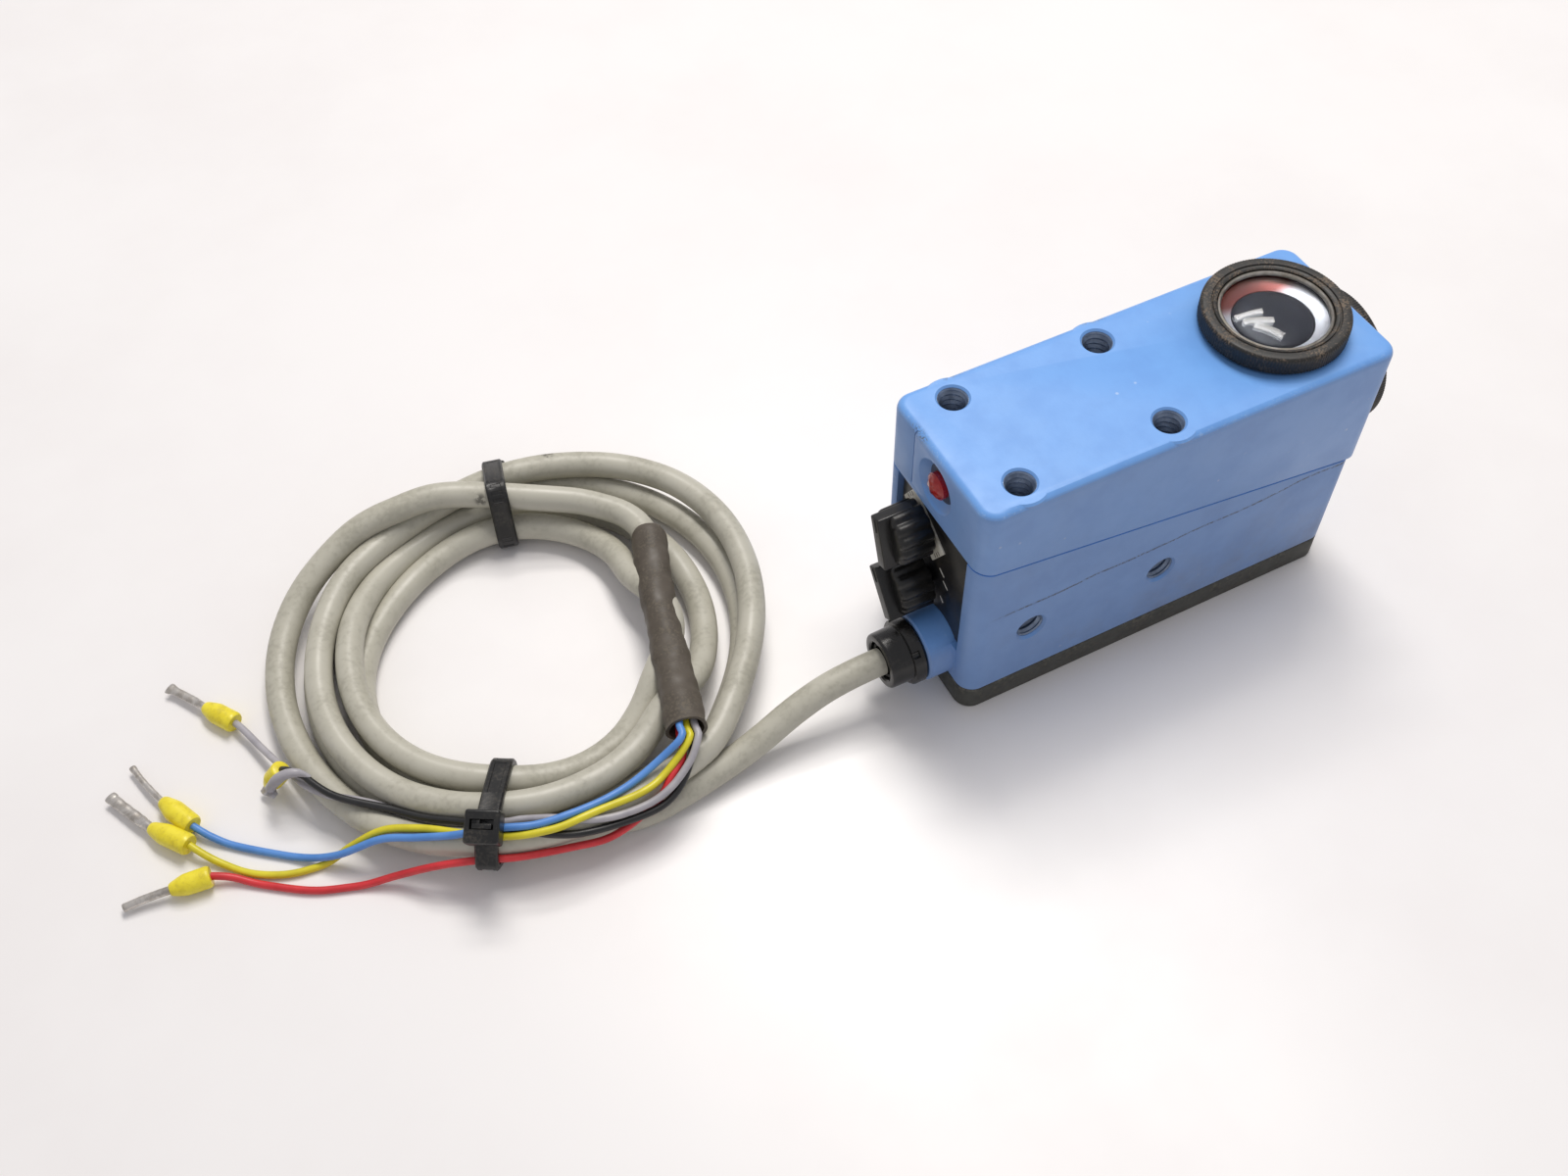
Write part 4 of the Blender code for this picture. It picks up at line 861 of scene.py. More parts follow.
@dataclass
class LensUnit(Part):
    """The screw-in lens: knurled ring, seal, glass, bright barrel, dark well and pale retaining ring."""

    origin: tuple = (28.6, 0.0, 53.2)
    radius: float = 12.5
    height: float = 3.4

    def ring_outline(self) -> list:
        """Return the ring's closed outline, with a step for the glass and two fine turned grooves."""
        r, h = self.radius, self.height
        return [(9.9, -3.6), (9.9, 0), (11.0, 0), (11.0, 1.2), (11.6, 1.2), (11.6, 0), (r - 0.35, 0), (r, 0.3),
                (r, 0.9), (r, 1.6), (r, 2.3), (r, h - 0.5), (r - 0.12, h - 0.25), (r - 0.4, h - 0.06), (r - 0.65, h),
                (11.2, h), (10.75, h - 0.02), (10.62, h - 0.28), (10.45, h - 0.32), (10.3, h - 0.1), (9.95, h - 0.12),
                (9.72, h - 0.3), (9.7, 0.2), (8.2, 0.2), (8.2, -3.6)]

    def build(self) -> None:
        """Build the unit."""
        body = "lens_unit"
        ring = turned(self.ring_outline(), self.origin, (0, 0, 1), 600, knurl(150, 0.13, self.radius - 0.2))
        self.keep(mesh_object("knurled_lens_ring", ring, 50), Finishes.ANODISED, "black_anodised", body, ("lens_ring",))
        reach, rise, rim = 9.3, 2.3, 1.9
        ball = (reach ** 2 + rise ** 2) / (2 * rise)
        steps = np.linspace(1, 0, 40)
        dome = [(reach * s, rim + rise - ball + math.sqrt(ball ** 2 - (reach * s) ** 2)) for s in steps]
        hollow = [((reach - 0.3) * s, rim + rise - ball - 0.7 + math.sqrt(ball ** 2 - ((reach - 0.3) * s) ** 2))
                  for s in steps[::-1]]
        glass = turned(hollow + [(reach, rim - 0.6)] + dome, self.origin, (0, 0, 1), 128)
        self.keep(mesh_object("objective_dome", glass, 60), Finishes.GLASS, "lens_glass", body, ("objective_lens",))
        pale = turned([(8.95, 2.28), (9.5, 2.28), (9.55, 2.9), (9.3, 3.05), (9.05, 2.85)], self.origin, (0, 0, 1), 128)
        self.keep(mesh_object("retaining_ring", pale, 60), Finishes.PALE_RIM, "black_anodised", body,
                  ("lens_retainer",))
        barrel = turned([(9.25, 1.1), (8.95, 1.12), (8.3, 0.8), (7.5, 0.55), (6.9, 0.45), (6.8, 0.2),
                         (6.8, -0.6), (8.1, -0.6), (9.2, 0.3)], self.origin, (0, 0, 1), 128)
        self.keep(mesh_object("bright_barrel", barrel, 30), Finishes.POLISHED, "zinc_steel", body)
        turn = np.linspace(math.pi / 2, 0, 14)
        bulge = [(6.75 * math.sin(t), 0.35 + 1.0 * math.cos(t)) for t in turn]
        well = turned([(0, -0.8), (6.75, -0.8)] + bulge, self.origin, (0, 0, 1), 96)
        self.keep(mesh_object("dark_inner_lens", well, 60), Finishes.WELL, "black_plastic", body)
        self.retained(Finishes.RUBBER, "lens_seal")


@dataclass
class BlankCap(Part):
    """The knurled cap on the unused port, dished in the middle."""

    origin: tuple = (44.1, 0.0, 37.8)
    radius: float = 12.5
    height: float = 3.4

    def build(self) -> None:
        """Build the cap."""
        r, h = self.radius, self.height
        outline = [(0, -0.6), (8.6, -0.6), (8.6, -3.6), (9.9, -3.6), (9.9, 0), (11.0, 0), (11.0, 1.2), (11.6, 1.2),
                   (11.6, 0), (r - 0.35, 0), (r, 0.3), (r, h - 0.5), (r - 0.12, h - 0.25), (r - 0.4, h - 0.06),
                   (r - 0.65, h), (9.0, h), (8.7, h - 0.1), (8.4, h - 0.6), (8.1, h - 0.7), (0, h - 0.7)]
        cap = turned(outline, self.origin, (1, 0, 0), 600, knurl(150, 0.13, r - 0.2))
        self.keep(mesh_object("knurled_blank_cap", cap, 50), Finishes.ANODISED, "black_anodised", "cap_unit",
                  ("blank_cap",))
        self.retained(Finishes.RUBBER, "cap_seal")


@dataclass
class Knob(Part):
    """A fluted knob with a flat grip blade across its face."""

    name: str
    body: str
    place: tuple
    tilt: float
    radius: float = 5.2
    length: float = 6.2
    flutes: int = 12

    def build(self) -> None:
        """Build the knob: fluted rings with an eased crown, and the blade with its pointer ridge."""
        stand = facing((-1, 0, 0), (-36.3, *self.place))
        angle = np.linspace(0, 2 * math.pi, self.flutes * 12, endpoint=False)
        rounds = [(0.0, self.radius - 0.1), (0.15, self.radius), (self.length - 0.9, self.radius - 0.08),
                  (self.length - 0.5, self.radius - 0.2), (self.length - 0.18, self.radius - 0.5),
                  (self.length, self.radius - 1.0)]
        dip = (0.5 - 0.5 * np.cos(self.flutes * angle)) ** 1.6
        rings = [np.stack([(r - 0.5 * dip) * np.cos(angle), (r - 0.5 * dip) * np.sin(angle), 0 * angle + h], -1)
                 for h, r in rounds]
        drum = skin(np.array(rings)).moved(stand)
        turn = Matrix.Rotation(math.radians(self.tilt), 4, "Z")
        lift = Matrix.Translation((0, 0, 4.7))
        blade = rounded_box((self.radius - 0.1, 1.35, 3.5), 0.32, stand @ turn @ lift)
        ridge = rounded_box((1.3, 0.28, 0.25), 0.12, stand @ turn @ Matrix.Translation((self.radius - 1.7, 0, 8.1)))
        obj = mesh_object(self.name + "_moulding", drum, 45)
        carve(obj, [blade, ridge], "UNION")
        self.keep(obj, Finishes.MOULDED_BLACK, "black_plastic", self.body, (self.name,))


@dataclass
class EndPanel(Part):
    """What sits in the cable end: label film, dial plate, printed ticks, lamp and gland."""

    rear: float = REAR
    dial: tuple = DIAL_SPOT
    selector: tuple = SELECTOR_SPOT
    cable: tuple = CABLE_SPOT

    def build(self) -> None:
        """Build everything on the panel."""
        self.films()
        self.lamp()
        self.gland()
        Knob("sensitivity_knob", "sensitivity_control", self.dial, 19.0).build()
        Knob("selector_knob", "selector_control", self.selector, 38.0).build()

    def films(self) -> None:
        """Build the plain label, the tilted dial plate and their generic tick marks."""
        face = self.rear + 0.9
        label = mesh_object("label_film", rounded_box((0.2, 10.75, 11.7), 0.12,
                                                      Matrix.Translation((face + 0.2, 0, 26.1)), 3))
        y, z = self.cable
        holes = [plug(6.65, -4, 4, (face, y, z), (1, 0, 0), 64)]
        holes += [plug(1.95, -4, 4, (face, *spot), (1, 0, 0), 24)
                  for spot in (self.dial, self.selector)]
        carve(label, holes)
        self.keep(label, Finishes.LABEL, "label_film", stands_for=("label_plate",))
        turn = Matrix.Rotation(math.radians(32), 4, "X")
        plate = mesh_object("dial_film", rounded_box((0.16, 6.1, 3.1), 0.1,
                                                     Matrix.Translation((face - 0.2, *self.dial)) @ turn, 3))
        carve(plate, [holes[1]])
        self.keep(plate, Finishes.DIAL, "dial_film", stands_for=("dial_plate",))
        self.ticks(face)

    def ticks(self, face: float) -> None:
        """Print dark ticks on the dial plate and pale ones on the label, each a thin rounded strip.

        Args:
            face: X of the recessed face.
        """
        centre = Matrix.Translation((face - 0.37, *self.dial))
        dark = None
        for degrees in (22, 32, 42, 202, 212, 222):
            mark = rounded_box((0.03, 0.42, 0.11), 0.02, centre @ Matrix.Rotation(math.radians(degrees), 4, "X")
                               @ Matrix.Translation((0, 5.62, 0)), 2)
            dark = mark if dark is None else dark.plus(mark)
        self.keep(mesh_object("dial_ticks", dark), Finishes.DARK_INK, "dial_film")
        pale = None
        for y, z, degrees, half in ((-3.2, 26.6, 28, 0.9), (-4.6, 24.6, 28, 0.9), (6.8, 22.0, 38, 0.7),
                                    (-3.9, 19.9, 38, 0.7), (5.9, 17.0, -52, 0.7)):
            mark = rounded_box((0.03, half, 0.14), 0.02, Matrix.Translation((face - 0.02, y, z))
                               @ Matrix.Rotation(math.radians(degrees), 4, "X"), 2)
            pale = mark if pale is None else pale.plus(mark)
        self.keep(mesh_object("label_ticks", pale), Finishes.INK, "label_film")

    def lamp(self) -> None:
        """Build the lamp: a shallow dome cut into facets by two folded waves, in its recess, whose floor ring is
        darkened as painted shade and dusted.
        """
        reach = np.linspace(2.4, 0.02, 22)[:, None]
        angle = np.linspace(0, 2 * math.pi, 72, endpoint=False)[None, :]
        x, y = reach * np.cos(angle), reach * np.sin(angle)
        fold = sum(np.abs((((x * math.cos(t) + y * math.sin(t)) / 1.3) % 1.0) * 2 - 1) for t in (0.3, 1.35, 2.4)) / 3
        height = 1.1 * (1 - (reach / 2.55) ** 1.7) + 0.22 * fold * (reach < 2.2) - 0.35
        top = np.stack([x, y, height], -1)
        foot = np.stack([np.repeat(x[:1], 2, 0), np.repeat(y[:1], 2, 0), np.array([[-1.9], [-0.3]]) + 0 * x[:1]], -1)
        lens = skin(np.vstack([foot, top])).moved(facing((-1, 0, 0), (self.rear, 0, LAMP_HEIGHT)))
        self.keep(mesh_object("faceted_lamp", lens, 12), Finishes.LAMP, "red_lens", stands_for=("lamp_lens",))
        # The floor ring carries painted shade: the blue paint darkened to blue-grey, with dust.
        ring = turned([(2.3, -1.8), (3.56, -1.8), (3.56, -1.42), (3.3, -1.3), (2.7, -1.2), (2.3, -1.2)],
                      (self.rear, 0, LAMP_HEIGHT), (-1, 0, 0), 72)
        self.keep(mesh_object("lamp_recess", ring, 50), Finishes.SHADED_SEAT, "blue_paint")
        self.retained(Finishes.LAMP, "status_diode")

    def gland(self) -> None:
        """Build the gland: a flange with four wrench notches and a smooth barrel with a rolled lip."""
        y, z = self.cable
        root = (self.rear - 4.9, y, z)
        outline = [(3.7, -4.3), (3.7, 0), (5.85, 0), (6.1, 0.2), (6.1, 2.0), (5.95, 2.25), (5.3, 2.35), (5.2, 2.5),
                   (5.16, 5.75), (5.1, 6.1), (4.92, 6.32), (4.6, 6.4), (3.9, 6.38), (3.62, 6.1), (3.5, 5.4),
                   (2.75, 1.2), (2.75, -4.3)]
        gland = mesh_object("notched_gland", turned(outline, root, (-1, 0, 0), 96))
        notches = []
        for index in range(4):
            angle = math.radians(45 + 90 * index)
            notches.append(plug(0.8, 0.9, 4, (root[0], y + 6.5 * math.cos(angle), z + 6.5 * math.sin(angle)),
                                (-1, 0, 0), 20))
        carve(gland, notches)
        self.keep(gland, Finishes.GLAND_BLACK, "black_plastic", stands_for=("cable_gland",))
        self.retained(Finishes.RUBBER, "gland_insert")


@dataclass
class Innards(Part):
    """The pieces inside the housing, which keep their CAD shapes."""

    def build(self) -> None:
        """Dress them."""
        self.retained(Finishes.MOULDED_BLACK, "optics_block", "potentiometer", "selector_switch", "terminal_block",
                      "sensitivity_shaft", "selector_shaft")
        self.retained(Finishes.GLASS, "splitter_plate", "emitter_diode")
        self.retained(Finishes.STEEL, "receiver_diode")
        self.retained(Finishes.LAMINATE, "control_board", "main_board", "emitter_carrier", "receiver_board")


# ---------------------------------------------------------------- lead, wires and ties

@dataclass
class Strand:
    """One cord as points that can be moved while the whole lead settles."""

    name: str
    points: np.ndarray
    radius: float
    step: float
    slack: float = 0.0
    held: np.ndarray = field(default=None)

    def __post_init__(self) -> None:
        """Hold the first and last points unless told otherwise."""
        if self.held is None:
            self.held = np.zeros(len(self.points), bool)
            self.held[[0, 1, -2, -1]] = True


@dataclass(frozen=True)
class TiePlace:
    """Where a cable tie crosses the coil: the direction from the coil's middle, in degrees."""

    name: str
    node: str
    degrees: float
    head: float
    centre: tuple = (-100.6, 30.6)
    width: float = 3.8
    thick: float = 1.1
    size: float = 1.0

    def axes(self) -> tuple:
        """Return the outward direction and the direction along the cable, both level."""
        angle = math.radians(self.degrees)
        return np.array([math.cos(angle), math.sin(angle)]), np.array([-math.sin(angle), math.cos(angle)])

    def lift(self, xy: np.ndarray) -> np.ndarray:
        """Return how far the tie's band raises a cable off the table at each place."""
        out, along = self.axes()
        offset = xy - np.array(self.centre)
        near = np.exp(-((offset @ along) / 12.0) ** 2)
        return (self.thick + 0.05) * near * ((offset @ out) > 0)


UPPER_TIE = TiePlace("upper_tie", "cable_tie_upper", 77.5, 350.0, size=0.8)
LOWER_TIE = TiePlace("lower_tie", "cable_tie_lower", 240.6, 68.0)


def settle(strands: list, rounds: int = 160) -> None:
    """Let cords lie on the table and on each other.

    Each round lowers the slack cords a little, pushes apart points that are closer than their
    radii allow, keeps them above the table and the tie bands, eases sharp changes along each cord,
    and draws each cord back towards its own laid route, a slack one in plan only.

    Args:
        strands: the cords, whose points are changed in place.
        rounds: how often to repeat.
    """
    points = np.vstack([s.points for s in strands])
    laid = points.copy()
    radius = np.concatenate([np.full(len(s.points), s.radius) for s in strands])
    held = np.concatenate([s.held for s in strands])
    slack = np.concatenate([np.full(len(s.points), s.slack) for s in strands])
    owner = np.concatenate([np.full(len(s.points), k) for k, s in enumerate(strands)])
    order = np.concatenate([np.arange(len(s.points)) * s.step for s in strands])
    reach = radius[:, None] + radius[None, :] + 0.03
    own = (owner[:, None] == owner[None, :]) & (np.abs(order[:, None] - order[None, :]) < 2.2 * reach)
    free = (~held)[:, None]
    starts = np.cumsum([0] + [len(s.points) for s in strands])
    for turn in range(rounds):
        pull = slack if turn < rounds * 0.8 else slack * 0.25
        points[:, 2] -= free[:, 0] * pull
        if turn % 8 == 0:
            apart = np.linalg.norm(points[:, None, :] - points[None, :, :], axis=2)
            first, second = np.nonzero((apart < reach + 1.5) & ~own)
        gap = points[first] - points[second]
        distance = np.maximum(np.linalg.norm(gap, axis=1), 1e-6)
        deep = np.maximum(reach[first, second] - distance, 0)
        weight = radius[second] ** 2 / (radius[first] ** 2 + radius[second] ** 2)
        push = np.zeros_like(points)
        np.add.at(push, first, gap / distance[:, None] * (deep * weight)[:, None])
        hits = np.bincount(first[deep > 0], minlength=len(points))
        points += free * push / np.maximum(hits, 1)[:, None] * 1.1
        change = points - laid
        for low, high in zip(starts, starts[1:]):
            part = change[low:high]
            part[1:-1] += 0.35 * (0.5 * (part[:-2] + part[2:]) - part[1:-1])
        change[:, :2] *= 0.985
        change[:, 2] *= np.where(slack > 0, 1.0, 0.985)
        points = np.where(free, laid + change, laid)
        floor = radius + UPPER_TIE.lift(points[:, :2]) + LOWER_TIE.lift(points[:, :2])
        points[:, 2] = np.where(held, points[:, 2], np.maximum(points[:, 2], floor))
    for strand, low, high in zip(strands, starts, starts[1:]):
        strand.points = points[low:high]


@dataclass(frozen=True)
class Core:
    """One wire of the lead: its finish, its way from sleeve to ferrule, and its ferrule, in millimetres.

    flat and flare shape the crimped barrel, bend is how far its tip leans aside, thick is its radius and
    crimp is how deep the jaws' marks are, as a share of it.
    """

    name: str
    finish: Finishes
    mouth: tuple
    route: tuple
    ferrule: tuple
    length: float
    flat: float
    flare: float
    bend: float
    thick: float
    crimp: float


CORES = (
    Core("grey", Finishes.WIRE_GREY, (1.6, 0.2),
         ((-86.2, -8.1, 11.2), (-92.7, -10.8, 10.9), (-99.5, -10.9, 11), (-105.3, -9.5, 11.2), (-110.2, -7.4, 11.6),
          (-114.4, -5.6, 10.4), (-118.0, -4.4, 9.6), (-124.6, 1.2, 9.2), (-132.3, 8.3, 8.4),
          (-140.4, 14.9, 8.4), (-144.4, 19.8, 8.3), (-146.3, 24.3, 7.4), (-148.1, 28.9, 6.0),
          (-150.0, 34.3, 4.2), (-151.4, 38.5, 2.8)),
         ((-152.7, 41.6, 1.95), (-156.6, 47.4, 1.95), (-161.1, 55.2, 1.4)), 0.105, 0.6, 1.5, -0.5, 0.66, 0.03),
    Core("black", Finishes.WIRE_BLACK, (0.9, -1.2),
         ((-87.7, -9.5, 10.2), (-92.5, -11.5, 9.6), (-100.3, -11.6, 10), (-109.2, -10.1, 10.6),
          (-117.5, -5.5, 10.8), (-124.2, 0.6, 10.6), (-132.0, 7.8, 9.8), (-140.2, 14.4, 9.8),
          (-143.3, 18.6, 9.6), (-144.4, 21.1, 9.0), (-146.1, 23.4, 7.6)),
         ((-147.6, 25.3, 6.2), (-150.8, 26.1, 2.3), (-152.1, 25.8, 1.1)), 0.091, 0.8, 1.0, 0.0, 0.7, 0.05),
    Core("blue", Finishes.WIRE_BLUE, (-1.1, 1.3),
         ((-90.1, -5.8, 12.6), (-97.7, -7.6, 12.2), (-105.5, -8.4, 12.6), (-113.2, -7.6, 12.8),
          (-119.5, -5.0, 12.9), (-124.9, -2.8, 12.2), (-130.8, 0.8, 10.6), (-136.8, 4.0, 9.9), (-144.8, 7.4, 5),
          (-151.9, 12.4, 1.6), (-159, 18.1, 0.95), (-162.6, 21.8, 1.5)),
         ((-164.6, 24.6, 1.95), (-168.0, 31.7, 1.95), (-172.1, 41.0, 1.3)), 0.099, 0.85, 1.15, 0.9, 0.52, 0.03),
    Core("yellow", Finishes.WIRE_YELLOW, (0.1, 0.3),
         ((-89.8, -7.6, 11), (-94.7, -9.1, 11.2), (-102.5, -9.1, 11.5), (-110.2, -9.1, 11.6),
          (-118.0, -6.6, 11.4), (-124.2, -2.9, 11.0), (-129.8, 1.6, 9.9), (-135.6, 5.0, 9.9),
          (-141.4, 7.0, 6.5), (-147.0, 7.8, 2.2), (-152.6, 8.9, 0.95),
          (-158, 11.8, 0.95), (-162, 15.8, 1.2), (-164.4, 18.6, 2.0)),
         ((-165.9, 20.8, 2.5), (-171.0, 27.4, 2.1), (-176.3, 37.0, 1.5)), 0.102, 0.65, 1.15, 0.3, 0.85, 0.07),
    Core("red", Finishes.WIRE_RED, (-1.3, -0.9),
         ((-86.3, -6.2, 10.5), (-89.6, -7.8, 9.8), (-94.3, -10.5, 8.6), (-102.1, -12.2, 8.2), (-109.0, -11.2, 8.8),
          (-117.6, -9.0, 9.4), (-124.6, -6.4, 9.6), (-130.5, -4.0, 8.6), (-136.5, -0.9, 5), (-143.5, 1.6, 1.6),
          (-150, 4.2, 0.95), (-157, 9.0, 0.95), (-161.0, 12.2, 1.5)),
         ((-164.2, 13.8, 1.95), (-170.9, 14.4, 1.95), (-178.6, 15.8, 1.3)), 0.095, 0.9, 1.05, -0.7, 0.72, 0.03),
)


@dataclass
class Lead(Part):
    """The lead from the gland through its coil to the sleeve, the five cores, and both ties."""

    radius: float = 2.5
    wire: float = 0.65
    sleeve_radius: float = 3.3
    length: float = 1.11
    coil_centre: tuple = (-100.6, 31.0)
    lean: tuple = (-0.122, -0.719)
    start: tuple = ((-47.2, -4.5, 9.8), (-50, -4.5, 9.8), (-54, -4.5, 9.5), (-59, -4.6, 8.7), (-65, -5.1, 7.0),
                    (-71, -6.0, 5.0), (-77.5, -6.9, 3.4), (-86.4, -8.1, 2.7), (-94.0, -8.8, 2.6))
    passes: tuple = ((1, 39.7, 2.55), (2, 37.6, 2.55), (3, 38.6, 2.55), (3.4, 39.2, 2.55), (3.75, 40.6, 2.55),
                     (4, 40.6, 2.55), (4.4, 38.3, 2.55), (5, 34.2, 2.55), (6, 30.8, 2.55), (7, 28.7, 2.55),
                     (7.4, 27.6, 2.6), (7.75, 26.6, 2.6), (8, 26.4, 2.6), (8.6, 27.4, 2.6), (9, 28.7, 2.55),
                     (9.5, 29.5, 6.0), (10, 31.0, 7.5), (10.4, 32.6, 6.6), (10.75, 33.6, 3.2), (11, 33.8, 2.6),
                     (11.75, 33.4, 2.6), (12, 32.3, 2.6), (12.35, 31.6, 2.6), (12.62, 31.4, 2.8),
                     (12.82, 31.9, 4.6), (13.1, 32.2, 7.0), (13.5, 34.6, 7.2), (14, 37.2, 7.5),
                     (15, 39.3, 7.0), (15.15, 39.9, 7.0), (15.32, 43.2, 7.0), (15.6, 49.6, 6.8),
                     (15.8, 46.6, 6.8), (16, 43.4, 7.4), (16.3, 39.6, 7.6), (16.6, 37.0, 7.4), (17, 37, 7.0),
                     (17.5, 41.0, 5.4), (18, 43.4, 2.7), (18.3, 45.2, 3.0), (18.55, 46.4, 6.5),
                     (18.75, 43.8, 11.4), (18.9, 41.2, 11.6), (19, 38.2, 10.0), (19.14, 35.8, 7.8))
    tail: tuple = ((-83.1, 56.6, 9.4), (-76.9, 52.1, 8.8), (-73.3, 47.8, 8.6), (-72.0, 42.9, 8.6),
                   (-72.8, 38.2, 8.6), (-73.7, 35.1, 8.6))
    sleeve: tuple = ((-71.4, 41.9, 8.6), (-73.1, 36.6, 8.6), (-76.2, 26.8, 8.8), (-78.3, 18.5, 9.3),
                     (-80.1, 11.6, 10.0), (-82.0, 4.2, 11.0), (-83.8, -2.9, 12.2))
    mouth: tuple = (-84.2, -4.0, 12.4)

    def coil_points(self) -> np.ndarray:
        """Return the coil's turns: radius and height run smoothly between the passes, a point each 15 degrees."""
        quarter, radius, height = np.array(self.passes, float).T
        marks = np.arange(quarter[0], quarter[-1] + 1e-6, 1 / 6)
        kernel = np.array([1, 2, 3, 2, 1]) / 9
        values = [np.interp(marks, quarter, each) for each in (radius, height)]
        radius, height = (np.convolve(np.pad(each, 2, mode="edge"), kernel, mode="valid") for each in values)
        angle = -(marks - 4) * math.pi / 2
        rise = height - 4
        reach = radius * (1 - rise / 234)
        x = self.coil_centre[0] + self.lean[0] * rise + reach * np.cos(angle)
        y = self.coil_centre[1] + self.lean[1] * rise + reach * np.sin(angle)
        plan = np.stack([x, y], -1)
        return np.column_stack([plan, height + UPPER_TIE.lift(plan) + LOWER_TIE.lift(plan)])

    def core_points(self, core: Core) -> list:
        """Return a core's whole route, from just inside the sleeve to its ferrule."""
        across, lift = core.mouth
        middle, side, out = np.array(self.mouth), np.array([0.969, -0.248, 0]), np.array([-0.248, -0.969, 0])
        start = middle + side * across + np.array([0, 0, lift])
        inner = middle + side * across * 0.8 + np.array([0, 0, lift * 0.8]) - out * 4
        return [inner, start - out * 0.5, start + out * 1.2, *core.route, core.ferrule[0]]

    def build(self) -> None:
        lead = smooth_path([*self.start, *self.coil_points(), *self.tail], 3.0)
        strands = [Strand("lead", lead, self.radius, 3.0)]
        strands[0].held[:4] = True
        sleeve = smooth_path(self.sleeve, 2.0)
        strands.append(Strand("sleeve", sleeve, self.sleeve_radius, 2.0, np.ones(len(sleeve), bool)))
        for core in CORES:
            points = smooth_path(self.core_points(core), 1.5)
            strands.append(Strand(core.name, points, self.wire, 1.5, 0.02))
            strands[-1].held[:5] = True
        stub = smooth_path([(-143.6, 20.2, 8.3), (-144.5, 21.1, 8.9), (-145.5, 21.5, 9.4),
                            (-147.3, 22.2, 9.0), (-149.1, 22.5, 7.8), (-150.6, 22.9, 5.4), (-150.2, 22.2, 4.2)], 1.0)
        self.ignore_inside(strands)
        settle(strands)
        by_name = {strand.name: strand for strand in strands}
        cable = self.lay_lead(by_name["lead"].points)
        ties = [self.tie(place, strands) for place in (UPPER_TIE, LOWER_TIE)]
        sleeve_piece = self.lay_sleeve(sleeve)
        for core in CORES:
            self.lay_core(core, by_name[core.name].points)
        end = mesh_object("cut_conductor", self.stub(stub))
        self.keep(end, Finishes.WIRE_GREY, "wire_stub", stands_for=("core_stub",))

    def ignore_inside(self, strands: list) -> None:
        """Hold the lead's last points, which lie inside the sleeve."""
        inside = np.linalg.norm(strands[0].points - strands[1].points[0], axis=1) < 13
        inside[: len(inside) // 2] = False
        strands[0].held |= inside

    @staticmethod
    def metres(points: np.ndarray) -> list:
        """Return points in metres as plain lists."""
        return (points * MM).tolist()

    def lay_lead(self, points: np.ndarray) -> bpy.types.Object:
        """Build the sheath along its settled points, with a slight ovalness where it was bent."""
        fine = smooth_path(points, 1.5)
        run = np.arange(len(fine)) * 1.5
        wide = 1 + 0.02 * np.sin(run / 31.0) + 0.01 * np.sin(run / 7.0)
        fine[:, 2] = np.maximum(fine[:, 2], self.radius * (2 - wide) + 0.02)
        cable = mesh_object("lead_sheath", swept(fine, self.radius, 28, wide, 2 - wide))
        return self.keep(cable, Finishes.SHEATH, "grey_pvc", stands_for=("cable_lead", "cable_coil", "cable_tail"))

    def lay_sleeve(self, points: np.ndarray) -> bpy.types.Object:
        """Build the shrunk sleeve: lumpy where the cores start under it, drawn in at its start, open at its mouth.

        Args:
            points: its middle line.

        Returns:
            The sleeve.
        """
        fine = smooth_path(points, 0.5)
        run = np.linspace(0, 1, len(fine))
        lumps = 0.10 * np.sin(run * 23) + 0.08 * np.sin(run * 41 + 1) + 0.05 * np.sin(run * 87 + 2)
        radius = 3.18 + 0.12 * np.sin(run * 9 + 0.6) + lumps + 0.25 * np.exp(-((run - 1) / 0.02) ** 2)
        radius[:2] -= (0.35, 0.12)
        wide = 1 + 0.10 * run ** 2
        _, side, rise = path_frame(fine)
        back = [len(fine) - 1, len(fine) - 3, len(fine) - 8]
        order = np.concatenate([np.arange(len(fine)), back])
        reach = np.concatenate([radius, [radius[-1] - 0.55, radius[-1] - 0.7, radius[-1] - 0.9]])[:, None, None]
        angle = np.linspace(0, 2 * math.pi, 40, endpoint=False)[None, :, None]
        ripple = 1 + 0.02 * np.sin(3 * angle + 14 * run[order][:, None, None]) + 0.012 * np.sin(
            5 * angle - 31 * run[order][:, None, None])
        ring = wide[order][:, None, None] * np.cos(angle) * side[order][:, None, :] - np.sin(angle) * rise[
            order][:, None, :] * (2 - wide[order])[:, None, None]
        surface = skin(fine[order][:, None, :] + reach * ripple * ring)
        piece = mesh_object("shrunk_sleeve", surface, 60)
        return self.keep(piece, Finishes.SLEEVE, "shrink_sleeve", stands_for=("shrink_sleeve",))

    def lay_core(self, core: Core, points: np.ndarray) -> None:
        """Args:
            core: the wire.
            points: its settled route.
        """
        fine = smooth_path(points, 0.75)
        wire = mesh_object(f"core_{core.name}_insulation", swept(fine, self.wire, 14))
        self.keep(wire, core.finish, f"wire_{core.name}", stands_for=(f"core_{core.name}",))
        collar = mesh_object(f"ferrule_collar_{core.name}", self.collar(core), 50)
        self.keep(collar, Finishes.COLLAR, "yellow_collar", stands_for=(f"collar_{core.name}",))
        barrel = mesh_object(f"ferrule_barrel_{core.name}", self.barrel(core), 50)
        self.keep(barrel, Finishes.TINNED, "tinned_copper", stands_for=(f"barrel_{core.name}",))

